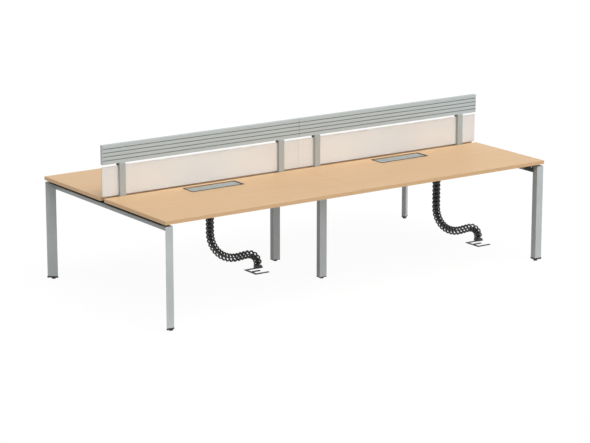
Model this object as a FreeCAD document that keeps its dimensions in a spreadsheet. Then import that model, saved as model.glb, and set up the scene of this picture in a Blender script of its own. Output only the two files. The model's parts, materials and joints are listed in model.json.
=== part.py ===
import FreeCAD, Part
import math
import os
import re

import Sketcher

# Bench desk for four people, two facing two, with a low screen along its middle.
# Millimetres. X runs along the desk, -Y is the front row, +Z is up, and the origin is
# the point of the floor under the middle of the desk.

SIZES = {
    # Worktop
    "desk_length": 3200,
    "desk_depth": 1600,
    "desk_height": 740,
    "board_thickness": 25,
    "board_gap": 50,
    "seam_gap": 1,
    "band_thickness": 2,
    # End frames: mitred goal posts of a right-angled triangular tube
    "tube_width": 60,
    "tube_depth": 53,
    "tube_wall": 2,
    "tube_round": 2,
    "frame_inset": 3,
    "float_gap": 14,
    "leg_lift": 15,
    # Middle frame and the beams between the frames
    "middle_width": 60,
    "middle_depth": 40,
    "middle_length": 1190,
    "row_spacing": 580,
    "beam_height": 50,
    "beam_width": 30,
    "beam_wall": 2,
    # Fasteners
    "plate_thickness": 5,
    "plate_width": 90,
    "bolt_spacing": 64,
    "bolt_diameter": 8,
    "bolt_length": 16,
    "bolt_head": 13,
    "bolt_head_height": 5,
    "bolt_clearance": 0.4,
    "screw_diameter": 6,
    "screw_length": 9,
    "screw_head": 12,
    "screw_head_height": 3,
    "screw_inset": 62,
    "screw_drop": 11,
    # Discs that float the boards above the frame
    "spacer_diameter": 24,
    "spacer_end_inset": 36,
    "spacer_seam_inset": 16,
    "spacer_near": 130,
    "spacer_far": 560,
    "spacer_from_hanger": 220,
    # Caps and levelling feet
    "cap_thickness": 6,
    "boss_diameter": 26,
    "boss_height": 20,
    "foot_diameter": 30,
    "foot_rim": 5,
    "foot_shoulder": 22,
    "foot_gap": 0.3,
    "stem_diameter": 8,
    "stem_reach": 37,
    "stem_fit": 0.05,
    # Cable flaps
    "cutout_length": 410,
    "cutout_width": 115,
    "cutout_inset": 53,
    "flange_margin": 20,
    "flange_thickness": 3,
    "cheek_gap": 0.5,
    "cheek_thickness": 4,
    "ledge_length": 10,
    "ledge_width": 8,
    "ledge_gap": 0.3,
    "hinge_inset": 10,
    "lid_drop": 1,
    "lid_reach": 95,
    "lid_thickness": 4,
    "lid_gap": 1,
    "lip_thickness": 3,
    "lip_drop": 12,
    "barrel_diameter": 12,
    "pin_diameter": 6,
    "pin_length": 25,
    "pin_fit": 0.02,
    "press_fit": 0.02,
    # Screen
    "screen_height": 1100,
    "rail_height": 133,
    "rail_thickness": 30,
    "rail_wall": 2.5,
    "groove_count": 4,
    "groove_height": 6,
    "groove_depth": 4,
    "end_cap_thickness": 3,
    "joiner_length": 200,
    "joiner_height": 60,
    "joiner_gap": 0.2,
    "panel_lift": 6,
    "panel_thickness": 8,
    "panel_gap": 18,
    "post_end_inset": 150,
    "post_middle": 155,
    "post_width": 48,
    "post_depth": 44,
    "post_round": 5,
    "slot_gap": 0.3,
    "post_plate_length": 160,
    "post_plate_width": 50,
    "post_plate_thickness": 6,
    "clip_width": 14,
    "clip_depth": 16,
    # Cable trays
    "tray_inset": 150,
    "tray_bottom": 600,
    "tray_side": 60,
    "tray_wall": 1.5,
    "hanger_thickness": 2,
    "hanger_width": 40,
    "hanger_hook": 27,
    "hanger_overlap": 30,
    "hanger_inset": 130,
    # Cable risers
    "riser_left_offset": 223,
    "riser_left_row": 183,
    "riser_right_inset": 30,
    "riser_right_row": -109,
    "riser_sag_radius": 215,
    "riser_hump_radius": 85,
    "riser_turn_angle": 95,
    "riser_run": 72,
    "riser_drop": 3,
    "link_pitch": 30,
    "link_reach": 29,
    "link_wall": 5,
    "link_height": 8,
    "fork_depth": 14,
    "tongue_thickness": 5,
    "tongue_gap": 0.2,
    "knuckle_radius": 4,
    "knuckle_gap": 0.65,
    "knuckle_tip": 3.2,
    "collar_width": 34,
    "collar_height": 20,
    "end_width": 46,
    "end_height": 20,
    "end_flange": 28,
    "end_flange_height": 8,
    # Floor plates of the risers
    "floor_plate_length": 118,
    "floor_plate_width": 151,
    "floor_plate_thickness": 5,
    "floor_plate_over": 7,
    "floor_plate_rear": 14,
    "prong_width": 18,
    "middle_prong": 87,
}

# Places that several pieces share, as formulas of the sizes
BOARD_UNDER = "(desk_height - board_thickness)"
FRAME_TOP = "(desk_height - board_thickness - float_gap)"
FRAME_SIDE = "(desk_depth / 2 - frame_inset)"
BAR_FACE = "(desk_length / 2 - tube_width)"
LEG_LENGTH = f"({FRAME_TOP} - leg_lift)"
BEAM_LENGTH = f"({BAR_FACE} - middle_width / 2 - 2 * plate_thickness)"
INCIRCLE = "((tube_width + tube_depth - sqrt(tube_width ^ 2 + tube_depth ^ 2)) / 2)"
BOARD_LENGTH = "((desk_length - seam_gap) / 2)"
BOARD_DEPTH = "((desk_depth - board_gap) / 2)"
BOARD_X = "((desk_length + seam_gap) / 4)"
BOARD_Y = "((desk_depth + board_gap) / 4)"
CUTOUT_Y = "(board_gap / 2 + cutout_inset + cutout_width / 2)"
LID_TOP = "(board_thickness - lid_drop)"
HINGE_Y = "(cutout_width / 2 - hinge_inset)"
HINGE_Z = f"({LID_TOP} - barrel_diameter / 2)"
LID_FRONT = f"({HINGE_Y} - lid_reach)"
CHEEK_OUTER = "(cutout_length / 2 - cheek_gap)"
CHEEK_INNER = "(cutout_length / 2 - cheek_gap - cheek_thickness)"
RAIL_BOTTOM = "(screen_height - rail_height)"
RAIL_LENGTH = "(desk_length / 2 - end_cap_thickness - seam_gap / 2)"
CHAMBER_WIDTH = "(rail_thickness - 2 * groove_depth - 2 * rail_wall)"
PANEL_BOTTOM = "(desk_height + panel_lift)"
PANEL_HEIGHT = f"({RAIL_BOTTOM} - panel_gap - {PANEL_BOTTOM})"
POST_END = "(desk_length / 2 - post_end_inset)"
TRAY_LENGTH = "(desk_length / 2 - 2 * tray_inset)"
HANGER_OFFSET = f"({TRAY_LENGTH} / 2 - hanger_inset)"
TRAY_WIDTH = "(row_spacing - beam_width - 2 * hanger_thickness)"
HANGER_DROP = f"({FRAME_TOP} - tray_bottom - tray_side + hanger_overlap)"
HUB_HALF = "(link_pitch / 2 - knuckle_radius - knuckle_gap)"
RISER_ENDS = {"left": "(-riser_left_offset)", "right": "(desk_length / 2 - riser_right_inset)"}

# Flat sides that stand for round ones on what repeats
BOLT_SIDES = 6
STEM_SIDES = 6
HINGE_SIDES = 12
FOOT_SIDES = 12
HOOP_SIDES = 6

ROWS = {"front": -1, "rear": 1}
SIDES = {"left": -1, "right": 1}

doc = FreeCAD.newDocument("bench_desk")
sheet = doc.addObject("Spreadsheet::Sheet", "Sizes")
for row, (alias, number) in enumerate(SIZES.items(), 1):
    sheet.set(f"A{row}", alias)
    sheet.set(f"B{row}", str(number))
    sheet.setAlias(f"B{row}", alias)
doc.recompute()

nodes = []


# Sizes and places

def size(alias):
    """The number in a size's cell."""
    return float(sheet.get(alias))


def cells(formula):
    """Points every size named in a formula at its cell: each has an underscore in its name."""
    return re.sub(r"[a-z]+(?:_[a-z]+)+", r"Sizes.\g<0>", formula)


def bind(thing, formulas):
    for prop, formula in formulas.items():
        thing.setExpression(prop, cells(formula))


def place(thing, x="0", y="0", z="0", turn=0):
    """Puts a thing at a point given by formulas, turned about the vertical."""
    thing.Placement = FreeCAD.Placement(
        FreeCAD.Vector(), FreeCAD.Rotation(FreeCAD.Vector(0, 0, 1), turn))
    bind(thing, {"Placement.Base.x": x, "Placement.Base.y": y, "Placement.Base.z": z})


def node(thing, label):
    """Names a thing as one of the sub-parts that are written out."""
    thing.Label = label
    nodes.append(thing)


def facing(row):
    """How far a flap or board made for the front row is turned to serve a row."""
    return 0 if row < 0 else 180


# Sketches and features

def rectangle(left, right, low, high):
    return [(left, low), (right, low), (right, high), (left, high)]


def centred(width, height):
    return rectangle(f"-{width} / 2", f"{width} / 2", f"-{height} / 2", f"{height} / 2")


def draw_outline(sketch, corners):
    """Draws a closed outline and ties each corner to its pair of formulas."""
    first = sketch.GeometryCount
    count = len(corners)
    start = []
    for index in range(count):
        angle = 2 * math.pi * index / count
        start.append(FreeCAD.Vector(math.cos(angle), math.sin(angle), 0))
    for index in range(count):
        sketch.addGeometry(Part.LineSegment(start[index], start[(index + 1) % count]))
    for index in range(count):
        following = first + (index + 1) % count
        sketch.addConstraint(Sketcher.Constraint("Coincident", first + index, 2, following, 1))
    for index, corner in enumerate(corners):
        for kind, formula in zip(("DistanceX", "DistanceY"), corner):
            tie = sketch.addConstraint(Sketcher.Constraint(kind, -1, 1, first + index, 1, 1.0))
            sketch.setExpression(f"Constraints[{tie}]", cells(formula))


def polygon(across, up, diameter, sides):
    """A regular outline round a point, with that diameter over its corners."""
    corners = []
    for index in range(sides):
        angle = math.pi * (2 * index + 1) / sides
        corners.append((
            f"{across} + {math.cos(angle):.9f} * ({diameter}) / 2",
            f"{up} + {math.sin(angle):.9f} * ({diameter}) / 2"))
    return corners


def sketch_on(body, role, outlines, level="0"):
    """Makes a sketch on one of the body's own planes, raised to a level."""
    plane = next(plane for plane in body.Origin.OriginFeatures if plane.Role == role)
    sketch = body.newObject("Sketcher::SketchObject", f"{body.Name}_sketch")
    sketch.AttachmentSupport = [(plane, "")]
    sketch.MapMode = "FlatFace"
    bind(sketch, {"AttachmentOffset.Base.z": level})
    for corners in outlines:
        draw_outline(sketch, corners)
    return sketch


def pad(body, sketch, length, symmetric=False, backwards=False):
    feature = body.newObject("PartDesign::Pad", f"{body.Name}_pad")
    feature.Profile = sketch
    feature.SideType = "Symmetric" if symmetric else "One side"
    feature.Reversed = backwards
    bind(feature, {"Length": length})
    return feature


def cut_through(body, sketch):
    feature = body.newObject("PartDesign::Pocket", f"{body.Name}_pocket")
    feature.Profile = sketch
    feature.Type = "ThroughAll"
    feature.SideType = "Symmetric"
    return feature


def cut_deep(body, sketch, length, symmetric=False, backwards=False):
    feature = body.newObject("PartDesign::Pocket", f"{body.Name}_pocket")
    feature.Profile = sketch
    feature.SideType = "Symmetric" if symmetric else "One side"
    feature.Reversed = backwards
    bind(feature, {"Length": length})
    return feature


def corners_of(width, depth):
    """The corners of a centred rectangle whose sides are two sizes."""
    half_width = size(width) / 2
    half_depth = size(depth) / 2
    return [(x * half_width, y * half_depth) for x in (-1, 1) for y in (-1, 1)]


def round_corners(body, feature, along, corners, radius):
    """Rounds the straight edges that run along one axis through the given corners."""
    doc.recompute()
    others = [axis for axis in range(3) if axis != along]
    names = []
    for index, edge in enumerate(feature.Shape.Edges, 1):
        ends = [vertex.Point for vertex in edge.Vertexes]
        for corner in corners:
            offsets = [abs(end[axis] - value) for end in ends for axis, value in zip(others, corner)]
            if len(ends) == 2 and max(offsets) < 0.001:
                names.append(f"Edge{index}")
    fillet = body.newObject("PartDesign::Fillet", f"{body.Name}_fillet")
    fillet.Base = (feature, names)
    bind(fillet, {"Radius": radius})
    return fillet


def new_body(name):
    return doc.addObject("PartDesign::Body", name)


def box(length, width, height, x="0", y="0", z="0"):
    """A plain block with its lowest corner at the given place."""
    block = doc.addObject("Part::Box", "block")
    bind(block, {"Length": length, "Width": width, "Height": height})
    place(block, x, y, z)
    return block


def copy_of(master, x="0", y="0", z="0", turn=0):
    link = doc.addObject("App::Link", f"{master.Name}_copy")
    link.LinkedObject = master
    place(link, x, y, z, turn)
    return link


def group(label, pieces):
    """Joins identical separate pieces into one sub-part without fusing them."""
    compound = doc.addObject("Part::Compound", label)
    compound.Links = pieces
    node(compound, label)


# End frames

def triangle(across, up):
    """The tube's outer section, its right angle at the origin, towards the given signs."""
    return [("0", "0"), (f"{across} * tube_width", "0"), ("0", f"{up} * tube_depth")]


def triangle_hollow(across, up):
    share = f"(1 - tube_wall / {INCIRCLE})"
    return [
        (f"{across} * tube_wall", f"{up} * tube_wall"),
        (f"{across} * (tube_wall + {share} * tube_width)", f"{up} * tube_wall"),
        (f"{across} * tube_wall", f"{up} * (tube_wall + {share} * tube_depth)"),
    ]


def triangle_points(across, up):
    return [(0, 0), (across * size("tube_width"), 0), (0, up * size("tube_depth"))]


def make_leg(label, side, row):
    body = new_body(label)
    section = sketch_on(body, "XY_Plane", [triangle(side, -row), triangle_hollow(side, -row)])
    tube = pad(body, section, LEG_LENGTH)
    round_corners(body, tube, 2, triangle_points(side, -row), "tube_round")
    mitre = [
        ("0", LEG_LENGTH),
        (f"{-row} * tube_depth", LEG_LENGTH),
        (f"{-row} * tube_depth", f"{LEG_LENGTH} - tube_depth"),
    ]
    cut_through(body, sketch_on(body, "YZ_Plane", [mitre]))
    place(body, f"{side} * {BAR_FACE}", f"{row} * {FRAME_SIDE}", "leg_lift")
    node(body, label)


def make_end_bar(label, side):
    body = new_body(label)
    section = sketch_on(
        body, "XZ_Plane", [triangle(side, -1), triangle_hollow(side, -1)], level=f"-{FRAME_SIDE}")
    tube = pad(body, section, f"2 * {FRAME_SIDE}")
    round_corners(body, tube, 1, triangle_points(side, -1), "tube_round")
    mitres = []
    holes = []
    bolt_hole = "bolt_diameter + bolt_clearance"
    screw_hole = "screw_diameter + bolt_clearance"
    for row in ROWS.values():
        mitres.append([
            (f"{row} * {FRAME_SIDE}", "0"),
            (f"{row} * {FRAME_SIDE}", "-tube_depth"),
            (f"{row} * ({FRAME_SIDE} - tube_depth)", "-tube_depth"),
        ])
        for shift in (-1, 1):
            across = f"{row} * row_spacing / 2 + {shift} * bolt_spacing / 2"
            holes.append(polygon(across, "-beam_height / 2", bolt_hole, BOLT_SIDES))
        across = f"{row} * ({FRAME_SIDE} - screw_inset)"
        holes.append(polygon(across, "-screw_drop", screw_hole, BOLT_SIDES))
    cut_through(body, sketch_on(body, "YZ_Plane", mitres))
    cut_deep(body, sketch_on(body, "YZ_Plane", holes), "tube_wall", backwards=side > 0)
    place(body, f"{side} * {BAR_FACE}", "0", FRAME_TOP)
    node(body, label)


# Middle frame and beams

def make_middle_leg(label, row):
    body = new_body(label)
    hollow = centred("(middle_width - 2 * tube_wall)", "(middle_depth - 2 * tube_wall)")
    section = sketch_on(body, "XY_Plane", [centred("middle_width", "middle_depth"), hollow])
    tube = pad(body, section, f"{LEG_LENGTH} - middle_depth")
    round_corners(body, tube, 2, corners_of("middle_width", "middle_depth"), "tube_round")
    place(body, "0", f"{row} * row_spacing / 2", "leg_lift")
    node(body, label)


def make_middle_bar():
    body = new_body("middle_bar")
    hollow = centred("(middle_width - 2 * tube_wall)", "(middle_depth - 2 * tube_wall)")
    section = sketch_on(body, "XZ_Plane", [centred("middle_width", "middle_depth"), hollow])
    pad(body, section, "middle_length", symmetric=True)
    holes = []
    for row in ROWS.values():
        for shift in (-1, 1):
            across = f"{row} * row_spacing / 2 + {shift} * bolt_spacing / 2"
            holes.append(polygon(
                across, "(middle_depth - beam_height) / 2", "bolt_diameter + bolt_clearance", BOLT_SIDES))
    cut_through(body, sketch_on(body, "YZ_Plane", holes))
    place(body, "0", "0", f"{FRAME_TOP} - middle_depth / 2")
    node(body, "middle_bar")


def make_beam(label, side, row):
    body = new_body(label)
    hollow = centred("(beam_width - 2 * beam_wall)", "(beam_height - 2 * beam_wall)")
    section = sketch_on(body, "YZ_Plane", [centred("beam_width", "beam_height"), hollow])
    pad(body, section, BEAM_LENGTH)
    start = "middle_width / 2 + plate_thickness" if side > 0 else f"-({BAR_FACE} - plate_thickness)"
    place(body, start, f"{row} * row_spacing / 2", f"{FRAME_TOP} - beam_height / 2")
    node(body, label)


def make_beam_plates():
    """Welded plates on the beams' ends, bolted to the bars."""
    plate = new_body("beam_plate")
    outlines = [centred("plate_width", "beam_height")]
    for shift in (-1, 1):
        outlines.append(polygon(
            f"{shift} * bolt_spacing / 2", "0", "bolt_diameter + bolt_clearance", BOLT_SIDES))
    section = sketch_on(plate, "YZ_Plane", outlines)
    pad(plate, section, "plate_thickness")
    starts = (
        "middle_width / 2",
        f"{BAR_FACE} - plate_thickness",
        "-middle_width / 2 - plate_thickness",
        f"-{BAR_FACE}",
    )
    level = f"{FRAME_TOP} - beam_height / 2"
    pieces = []
    for row in ROWS.values():
        for start in starts:
            pieces.append(copy_of(plate, start, f"{row} * row_spacing / 2", level))
    group("beam_plates", pieces)


def make_bolt(name, head, head_height, shank, length):
    """A bolt along X, with its head behind the origin and its shank in front."""
    body = new_body(name)
    outer = sketch_on(body, "YZ_Plane", [polygon("0", "0", head, BOLT_SIDES)])
    inner = sketch_on(body, "YZ_Plane", [polygon("0", "0", shank, BOLT_SIDES)])
    pad(body, outer, head_height, backwards=True)
    pad(body, inner, length)
    return body


def make_bolts():
    bolt = make_bolt("bolt", "bolt_head", "bolt_head_height", "bolt_diameter", "bolt_length")
    screw = make_bolt("screw", "screw_head", "screw_head_height", "screw_diameter", "screw_length")
    bolts = []
    screws = []
    level = f"{FRAME_TOP} - beam_height / 2"
    for side in SIDES.values():
        outward = 0 if side > 0 else 180
        for row in ROWS.values():
            for shift in (-1, 1):
                y = f"{row} * row_spacing / 2 + {shift} * bolt_spacing / 2"
                outer = f"{side} * ({BAR_FACE} - plate_thickness)"
                inner = f"{side} * (middle_width / 2 + plate_thickness)"
                bolts.append(copy_of(bolt, outer, y, level, outward))
                bolts.append(copy_of(bolt, inner, y, level, 180 - outward))
            y = f"{row} * ({FRAME_SIDE} - screw_inset)"
            screws.append(
                copy_of(screw, f"{side} * {BAR_FACE}", y, f"{FRAME_TOP} - screw_drop", outward))
    group("beam_bolts", bolts)
    group("corner_screws", screws)


def make_spacers():
    """Discs on the frame that carry the boards clear of it."""
    disc = new_body("spacer")
    outline = polygon("0", "0", "spacer_diameter", STEM_SIDES)
    pad(disc, sketch_on(disc, "XY_Plane", [outline]), "float_gap")
    spots = []
    for y in ("spacer_near", "spacer_far"):
        spots.append(("(desk_length / 2 - spacer_end_inset)", y))
        spots.append(("spacer_seam_inset", y))
    for shift in (-1, 1):
        x = f"(desk_length / 4 + {shift} * ({HANGER_OFFSET} - spacer_from_hanger))"
        spots.append((x, "row_spacing / 2"))
    pieces = []
    for side in SIDES.values():
        for row in ROWS.values():
            for x, y in spots:
                pieces.append(copy_of(disc, f"{side} * {x}", f"{row} * {y}", FRAME_TOP))
    group("top_spacers", pieces)


# Caps and feet

def make_cap(name, outline, across, up):
    """A moulded cap under a leg, with the boss that the foot's stem turns in."""
    body = new_body(name)
    pad(body, sketch_on(body, "XY_Plane", [outline], level="-cap_thickness"), "cap_thickness")
    boss = polygon(across, up, "boss_diameter", STEM_SIDES)
    pad(body, sketch_on(body, "XY_Plane", [boss]), "boss_height")
    bore = polygon(across, up, "stem_diameter + 2 * stem_fit", STEM_SIDES)
    cut_through(body, sketch_on(body, "XY_Plane", [bore]))
    return body


def make_foot(label, x, y):
    """A levelling foot: a broad rim on the floor, a shoulder and a stem up into the leg."""
    body = new_body(label)
    steps = (
        ("foot_diameter", FOOT_SIDES, "0", "foot_rim"),
        ("foot_shoulder", FOOT_SIDES, "foot_rim", "leg_lift - cap_thickness - foot_gap"),
        ("stem_diameter", STEM_SIDES, "leg_lift - cap_thickness - foot_gap", "leg_lift + stem_reach"),
    )
    for diameter, sides, low, high in steps:
        outline = polygon("0", "0", diameter, sides)
        pad(body, sketch_on(body, "XY_Plane", [outline], level=low), f"{high} - ({low})")
    place(body, x, y)
    node(body, label)


def make_caps_and_feet():
    caps = []
    for row_name, row in ROWS.items():
        for side_name, side in SIDES.items():
            cap = make_cap(
                f"cap_{row_name}_{side_name}", triangle(side, -row),
                f"{side} * {INCIRCLE}", f"{-row} * {INCIRCLE}")
            place(cap, f"{side} * {BAR_FACE}", f"{row} * {FRAME_SIDE}", "leg_lift")
            caps.append(cap)
            make_foot(
                f"foot_{row_name}_{side_name}", f"{side} * ({BAR_FACE} + {INCIRCLE})",
                f"{row} * ({FRAME_SIDE} - {INCIRCLE})")
        cap = make_cap(
            f"cap_{row_name}_middle", centred("middle_width", "middle_depth"), "0", "0")
        place(cap, "0", f"{row} * row_spacing / 2", "leg_lift")
        caps.append(cap)
        make_foot(f"foot_{row_name}_middle", "0", f"{row} * row_spacing / 2")
    group("leg_caps", caps)


# Worktop

def make_board(label, side, row):
    body = new_body(label)
    core = centred(f"({BOARD_LENGTH} - 2 * band_thickness)", f"({BOARD_DEPTH} - 2 * band_thickness)")
    pad(body, sketch_on(body, "XY_Plane", [core]), "board_thickness")
    middle = f"({BOARD_Y} - {CUTOUT_Y})"
    cutout = rectangle(
        "-cutout_length / 2", "cutout_length / 2",
        f"{middle} - cutout_width / 2", f"{middle} + cutout_width / 2")
    cut_through(body, sketch_on(body, "XY_Plane", [cutout]))
    place(body, f"{side} * {BOARD_X}", f"{row} * {BOARD_Y}", BOARD_UNDER, facing(row))
    node(body, label)


def make_bands():
    """Edge strips round the four boards: long ones to the corners, short ones between them."""
    strips = []
    for side in SIDES.values():
        for row in ROWS.values():
            x = f"{side} * {BOARD_X}"
            y = f"{row} * {BOARD_Y}"
            for low in (f"-{BOARD_DEPTH} / 2", f"{BOARD_DEPTH} / 2 - band_thickness"):
                strips.append(box(
                    BOARD_LENGTH, "band_thickness", "board_thickness",
                    f"{x} - {BOARD_LENGTH} / 2", f"{y} + {low}", BOARD_UNDER))
            for low in (f"-{BOARD_LENGTH} / 2", f"{BOARD_LENGTH} / 2 - band_thickness"):
                strips.append(box(
                    "band_thickness", f"{BOARD_DEPTH} - 2 * band_thickness", "board_thickness",
                    f"{x} + {low}", f"{y} - {BOARD_DEPTH} / 2 + band_thickness", BOARD_UNDER))
    group("edge_bands", strips)


# Cable flaps, drawn for the front row about the middle of the cut-out, from the board's underside

def place_flap(thing, side, row):
    place(thing, f"{side} * {BOARD_X}", f"{row} * {CUTOUT_Y}", BOARD_UNDER, facing(row))


def make_flap_frame(label, side, row):
    body = new_body(label)
    outer = centred("(cutout_length + 2 * flange_margin)", "(cutout_width + 2 * flange_margin)")
    opening = centred(f"(2 * {CHEEK_INNER})", "cutout_width")
    base = "-flange_thickness"
    pad(body, sketch_on(body, "XY_Plane", [outer, opening], level=base), "flange_thickness")
    cheeks = []
    ledges = []
    for end in SIDES.values():
        cheeks.append(rectangle(
            f"{end} * {CHEEK_INNER}", f"{end} * {CHEEK_OUTER}",
            LID_FRONT, "cutout_width / 2 - cheek_gap"))
        back = f"{LID_FRONT} + 2 * lip_thickness"
        ledges.append(rectangle(
            f"{end} * ({CHEEK_INNER} - ledge_length)", f"{end} * {CHEEK_INNER}",
            back, f"{back} + ledge_width"))
    pad(body, sketch_on(body, "XY_Plane", cheeks, level=base), f"flange_thickness + {LID_TOP}")
    pad(body, sketch_on(body, "XY_Plane", ledges, level=base),
        f"flange_thickness + {LID_TOP} - lid_thickness - ledge_gap")
    hole = polygon(HINGE_Y, HINGE_Z, "pin_diameter + 2 * press_fit", HINGE_SIDES)
    cut_through(body, sketch_on(body, "YZ_Plane", [hole]))
    place_flap(body, side, row)
    node(body, label)


def make_flap_lid(label, side, row):
    body = new_body(label)
    length = f"2 * ({CHEEK_INNER} - lid_gap)"
    section = [
        (LID_FRONT, LID_TOP),
        (HINGE_Y, LID_TOP),
        (HINGE_Y, f"{LID_TOP} - lid_thickness"),
        (f"{LID_FRONT} + lip_thickness", f"{LID_TOP} - lid_thickness"),
        (f"{LID_FRONT} + lip_thickness", f"{LID_TOP} - lip_drop"),
        (LID_FRONT, f"{LID_TOP} - lip_drop"),
    ]
    pad(body, sketch_on(body, "YZ_Plane", [section]), length, symmetric=True)
    over_flats = math.cos(math.pi / HINGE_SIDES)
    barrel = polygon(HINGE_Y, HINGE_Z, "barrel_diameter", HINGE_SIDES)
    pad(body, sketch_on(body, "YZ_Plane", [barrel]), length, symmetric=True)
    bore = polygon(HINGE_Y, HINGE_Z, f"(pin_diameter + 2 * pin_fit) / {over_flats:.9f}", HINGE_SIDES)
    cut_through(body, sketch_on(body, "YZ_Plane", [bore]))
    place_flap(body, side, row)
    node(body, label)


def make_flap_pins():
    pin = new_body("pin")
    section = polygon("0", "0", "pin_diameter", HINGE_SIDES)
    pad(pin, sketch_on(pin, "YZ_Plane", [section]), "pin_length")
    pieces = []
    for side in SIDES.values():
        for row in ROWS.values():
            y = f"{row} * ({CUTOUT_Y} - {HINGE_Y})"
            for end, turn in ((-1, 0), (1, 180)):
                x = f"{side} * {BOARD_X} + {end} * {CHEEK_OUTER}"
                pieces.append(copy_of(pin, x, y, f"{BOARD_UNDER} + {HINGE_Z}", turn))
    group("flap_pins", pieces)


# Screen

def make_rail(label, side):
    """Half of the hollow top rail, with shallow grooves along both faces."""
    body = new_body(label)
    chamber = rectangle(
        f"-{CHAMBER_WIDTH} / 2", f"{CHAMBER_WIDTH} / 2", "rail_wall", "rail_height - rail_wall")
    outer = rectangle("-rail_thickness / 2", "rail_thickness / 2", "0", "rail_height")
    pad(body, sketch_on(body, "YZ_Plane", [outer, chamber]), RAIL_LENGTH)
    pitch = "rail_height / (groove_count + 1)"
    low = f"{pitch} - groove_height / 2"
    first_grooves = []
    for face in ROWS.values():
        first_grooves.append(rectangle(
            f"{face} * (rail_thickness / 2 - groove_depth)", f"{face} * rail_thickness / 2",
            low, f"{low} + groove_height"))
    groove = cut_through(body, sketch_on(body, "YZ_Plane", first_grooves))
    grooves = body.newObject("PartDesign::LinearPattern", f"{label}_grooves")
    grooves.Originals = [groove]
    grooves.Direction = (groove.Profile[0], ["V_Axis"])
    bind(grooves, {"Length": f"{pitch} * (groove_count - 1)", "Occurrences": "groove_count"})
    body.Tip = grooves
    start = "seam_gap / 2" if side > 0 else f"-(seam_gap / 2 + {RAIL_LENGTH})"
    place(body, start, "0", RAIL_BOTTOM)
    node(body, label)


def make_rail_fittings():
    joiner_width = f"{CHAMBER_WIDTH} - 2 * joiner_gap"
    joiner = box(
        "joiner_length", joiner_width, "joiner_height",
        "-joiner_length / 2", f"-({joiner_width}) / 2", f"{RAIL_BOTTOM} + rail_wall")
    node(joiner, "rail_joiner")
    caps = []
    for low in ("-desk_length / 2", "desk_length / 2 - end_cap_thickness"):
        caps.append(box(
            "end_cap_thickness", "rail_thickness", "rail_height", low, "-rail_thickness / 2", RAIL_BOTTOM))
    group("rail_end_caps", caps)


def make_panel(label, side):
    start = "seam_gap / 2" if side > 0 else "-desk_length / 2"
    panel = box(
        BOARD_LENGTH, "panel_thickness", PANEL_HEIGHT, start, "-panel_thickness / 2", PANEL_BOTTOM)
    node(panel, label)


def make_post(label, side, distance):
    """A post that stands in the gap between the boards and holds the panel in its slot."""
    body = new_body(label)
    height = f"({RAIL_BOTTOM} - {BOARD_UNDER})"
    block = pad(body, sketch_on(body, "XY_Plane", [centred("post_width", "post_depth")]), height)
    round_corners(body, block, 2, corners_of("post_width", "post_depth"), "post_round")
    half_slot = "(panel_thickness / 2 + slot_gap)"
    slot = rectangle(f"-{half_slot}", half_slot, f"{PANEL_BOTTOM} - {BOARD_UNDER}", height)
    cut_through(body, sketch_on(body, "YZ_Plane", [slot]))
    place(body, f"{side} * {distance}", "0", BOARD_UNDER)
    node(body, label)


def make_post_fittings():
    plates = []
    clips = []
    for side in SIDES.values():
        for distance in (POST_END, "post_middle"):
            middle = f"{side} * {distance}"
            plates.append(box(
                "post_plate_width", "post_plate_length", "post_plate_thickness",
                f"{middle} - post_plate_width / 2", "-post_plate_length / 2",
                f"{BOARD_UNDER} - post_plate_thickness"))
            clips.append(box(
                "clip_width", "clip_depth", "panel_gap",
                f"{middle} - post_width / 2 - clip_width", "-clip_depth / 2",
                f"{RAIL_BOTTOM} - panel_gap"))
    group("post_plates", plates)
    group("panel_clips", clips)


# Cable trays

def make_tray(label, side):
    body = new_body(label)
    half = f"({TRAY_WIDTH} / 2)"
    section = [
        (f"-{half}", "tray_side"),
        (f"-{half}", "0"),
        (half, "0"),
        (half, "tray_side"),
        (f"{half} - tray_wall", "tray_side"),
        (f"{half} - tray_wall", "tray_wall"),
        (f"-{half} + tray_wall", "tray_wall"),
        (f"-{half} + tray_wall", "tray_side"),
    ]
    pad(body, sketch_on(body, "YZ_Plane", [section]), TRAY_LENGTH, symmetric=True)
    place(body, f"{side} * desk_length / 4", "0", "tray_bottom")
    node(body, label)


def make_hangers():
    """Straps that hook over the beams and hold the trays' sides."""
    strap = new_body("hanger")
    section = [
        ("-hanger_thickness", f"-{HANGER_DROP}"),
        ("0", f"-{HANGER_DROP}"),
        ("0", "0"),
        ("hanger_hook", "0"),
        ("hanger_hook", "hanger_thickness"),
        ("-hanger_thickness", "hanger_thickness"),
    ]
    pad(strap, sketch_on(strap, "YZ_Plane", [section]), "hanger_width", symmetric=True)
    pieces = []
    for side in SIDES.values():
        for shift in (-1, 1):
            x = f"{side} * desk_length / 4 + {shift} * {HANGER_OFFSET}"
            for row, turn in ((-1, 180), (1, 0)):
                y = f"{row} * (row_spacing - beam_width) / 2"
                pieces.append(copy_of(strap, x, y, FRAME_TOP, turn))
    group("tray_hangers", pieces)


# Cable risers: links that hang from a tray, sag, rise over a hump and drop to a floor plate

def knuckle(root, tip):
    """A tongue's or fork's outline in the bending plane."""
    return rectangle("-knuckle_radius", "knuckle_radius", root, tip)


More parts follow.
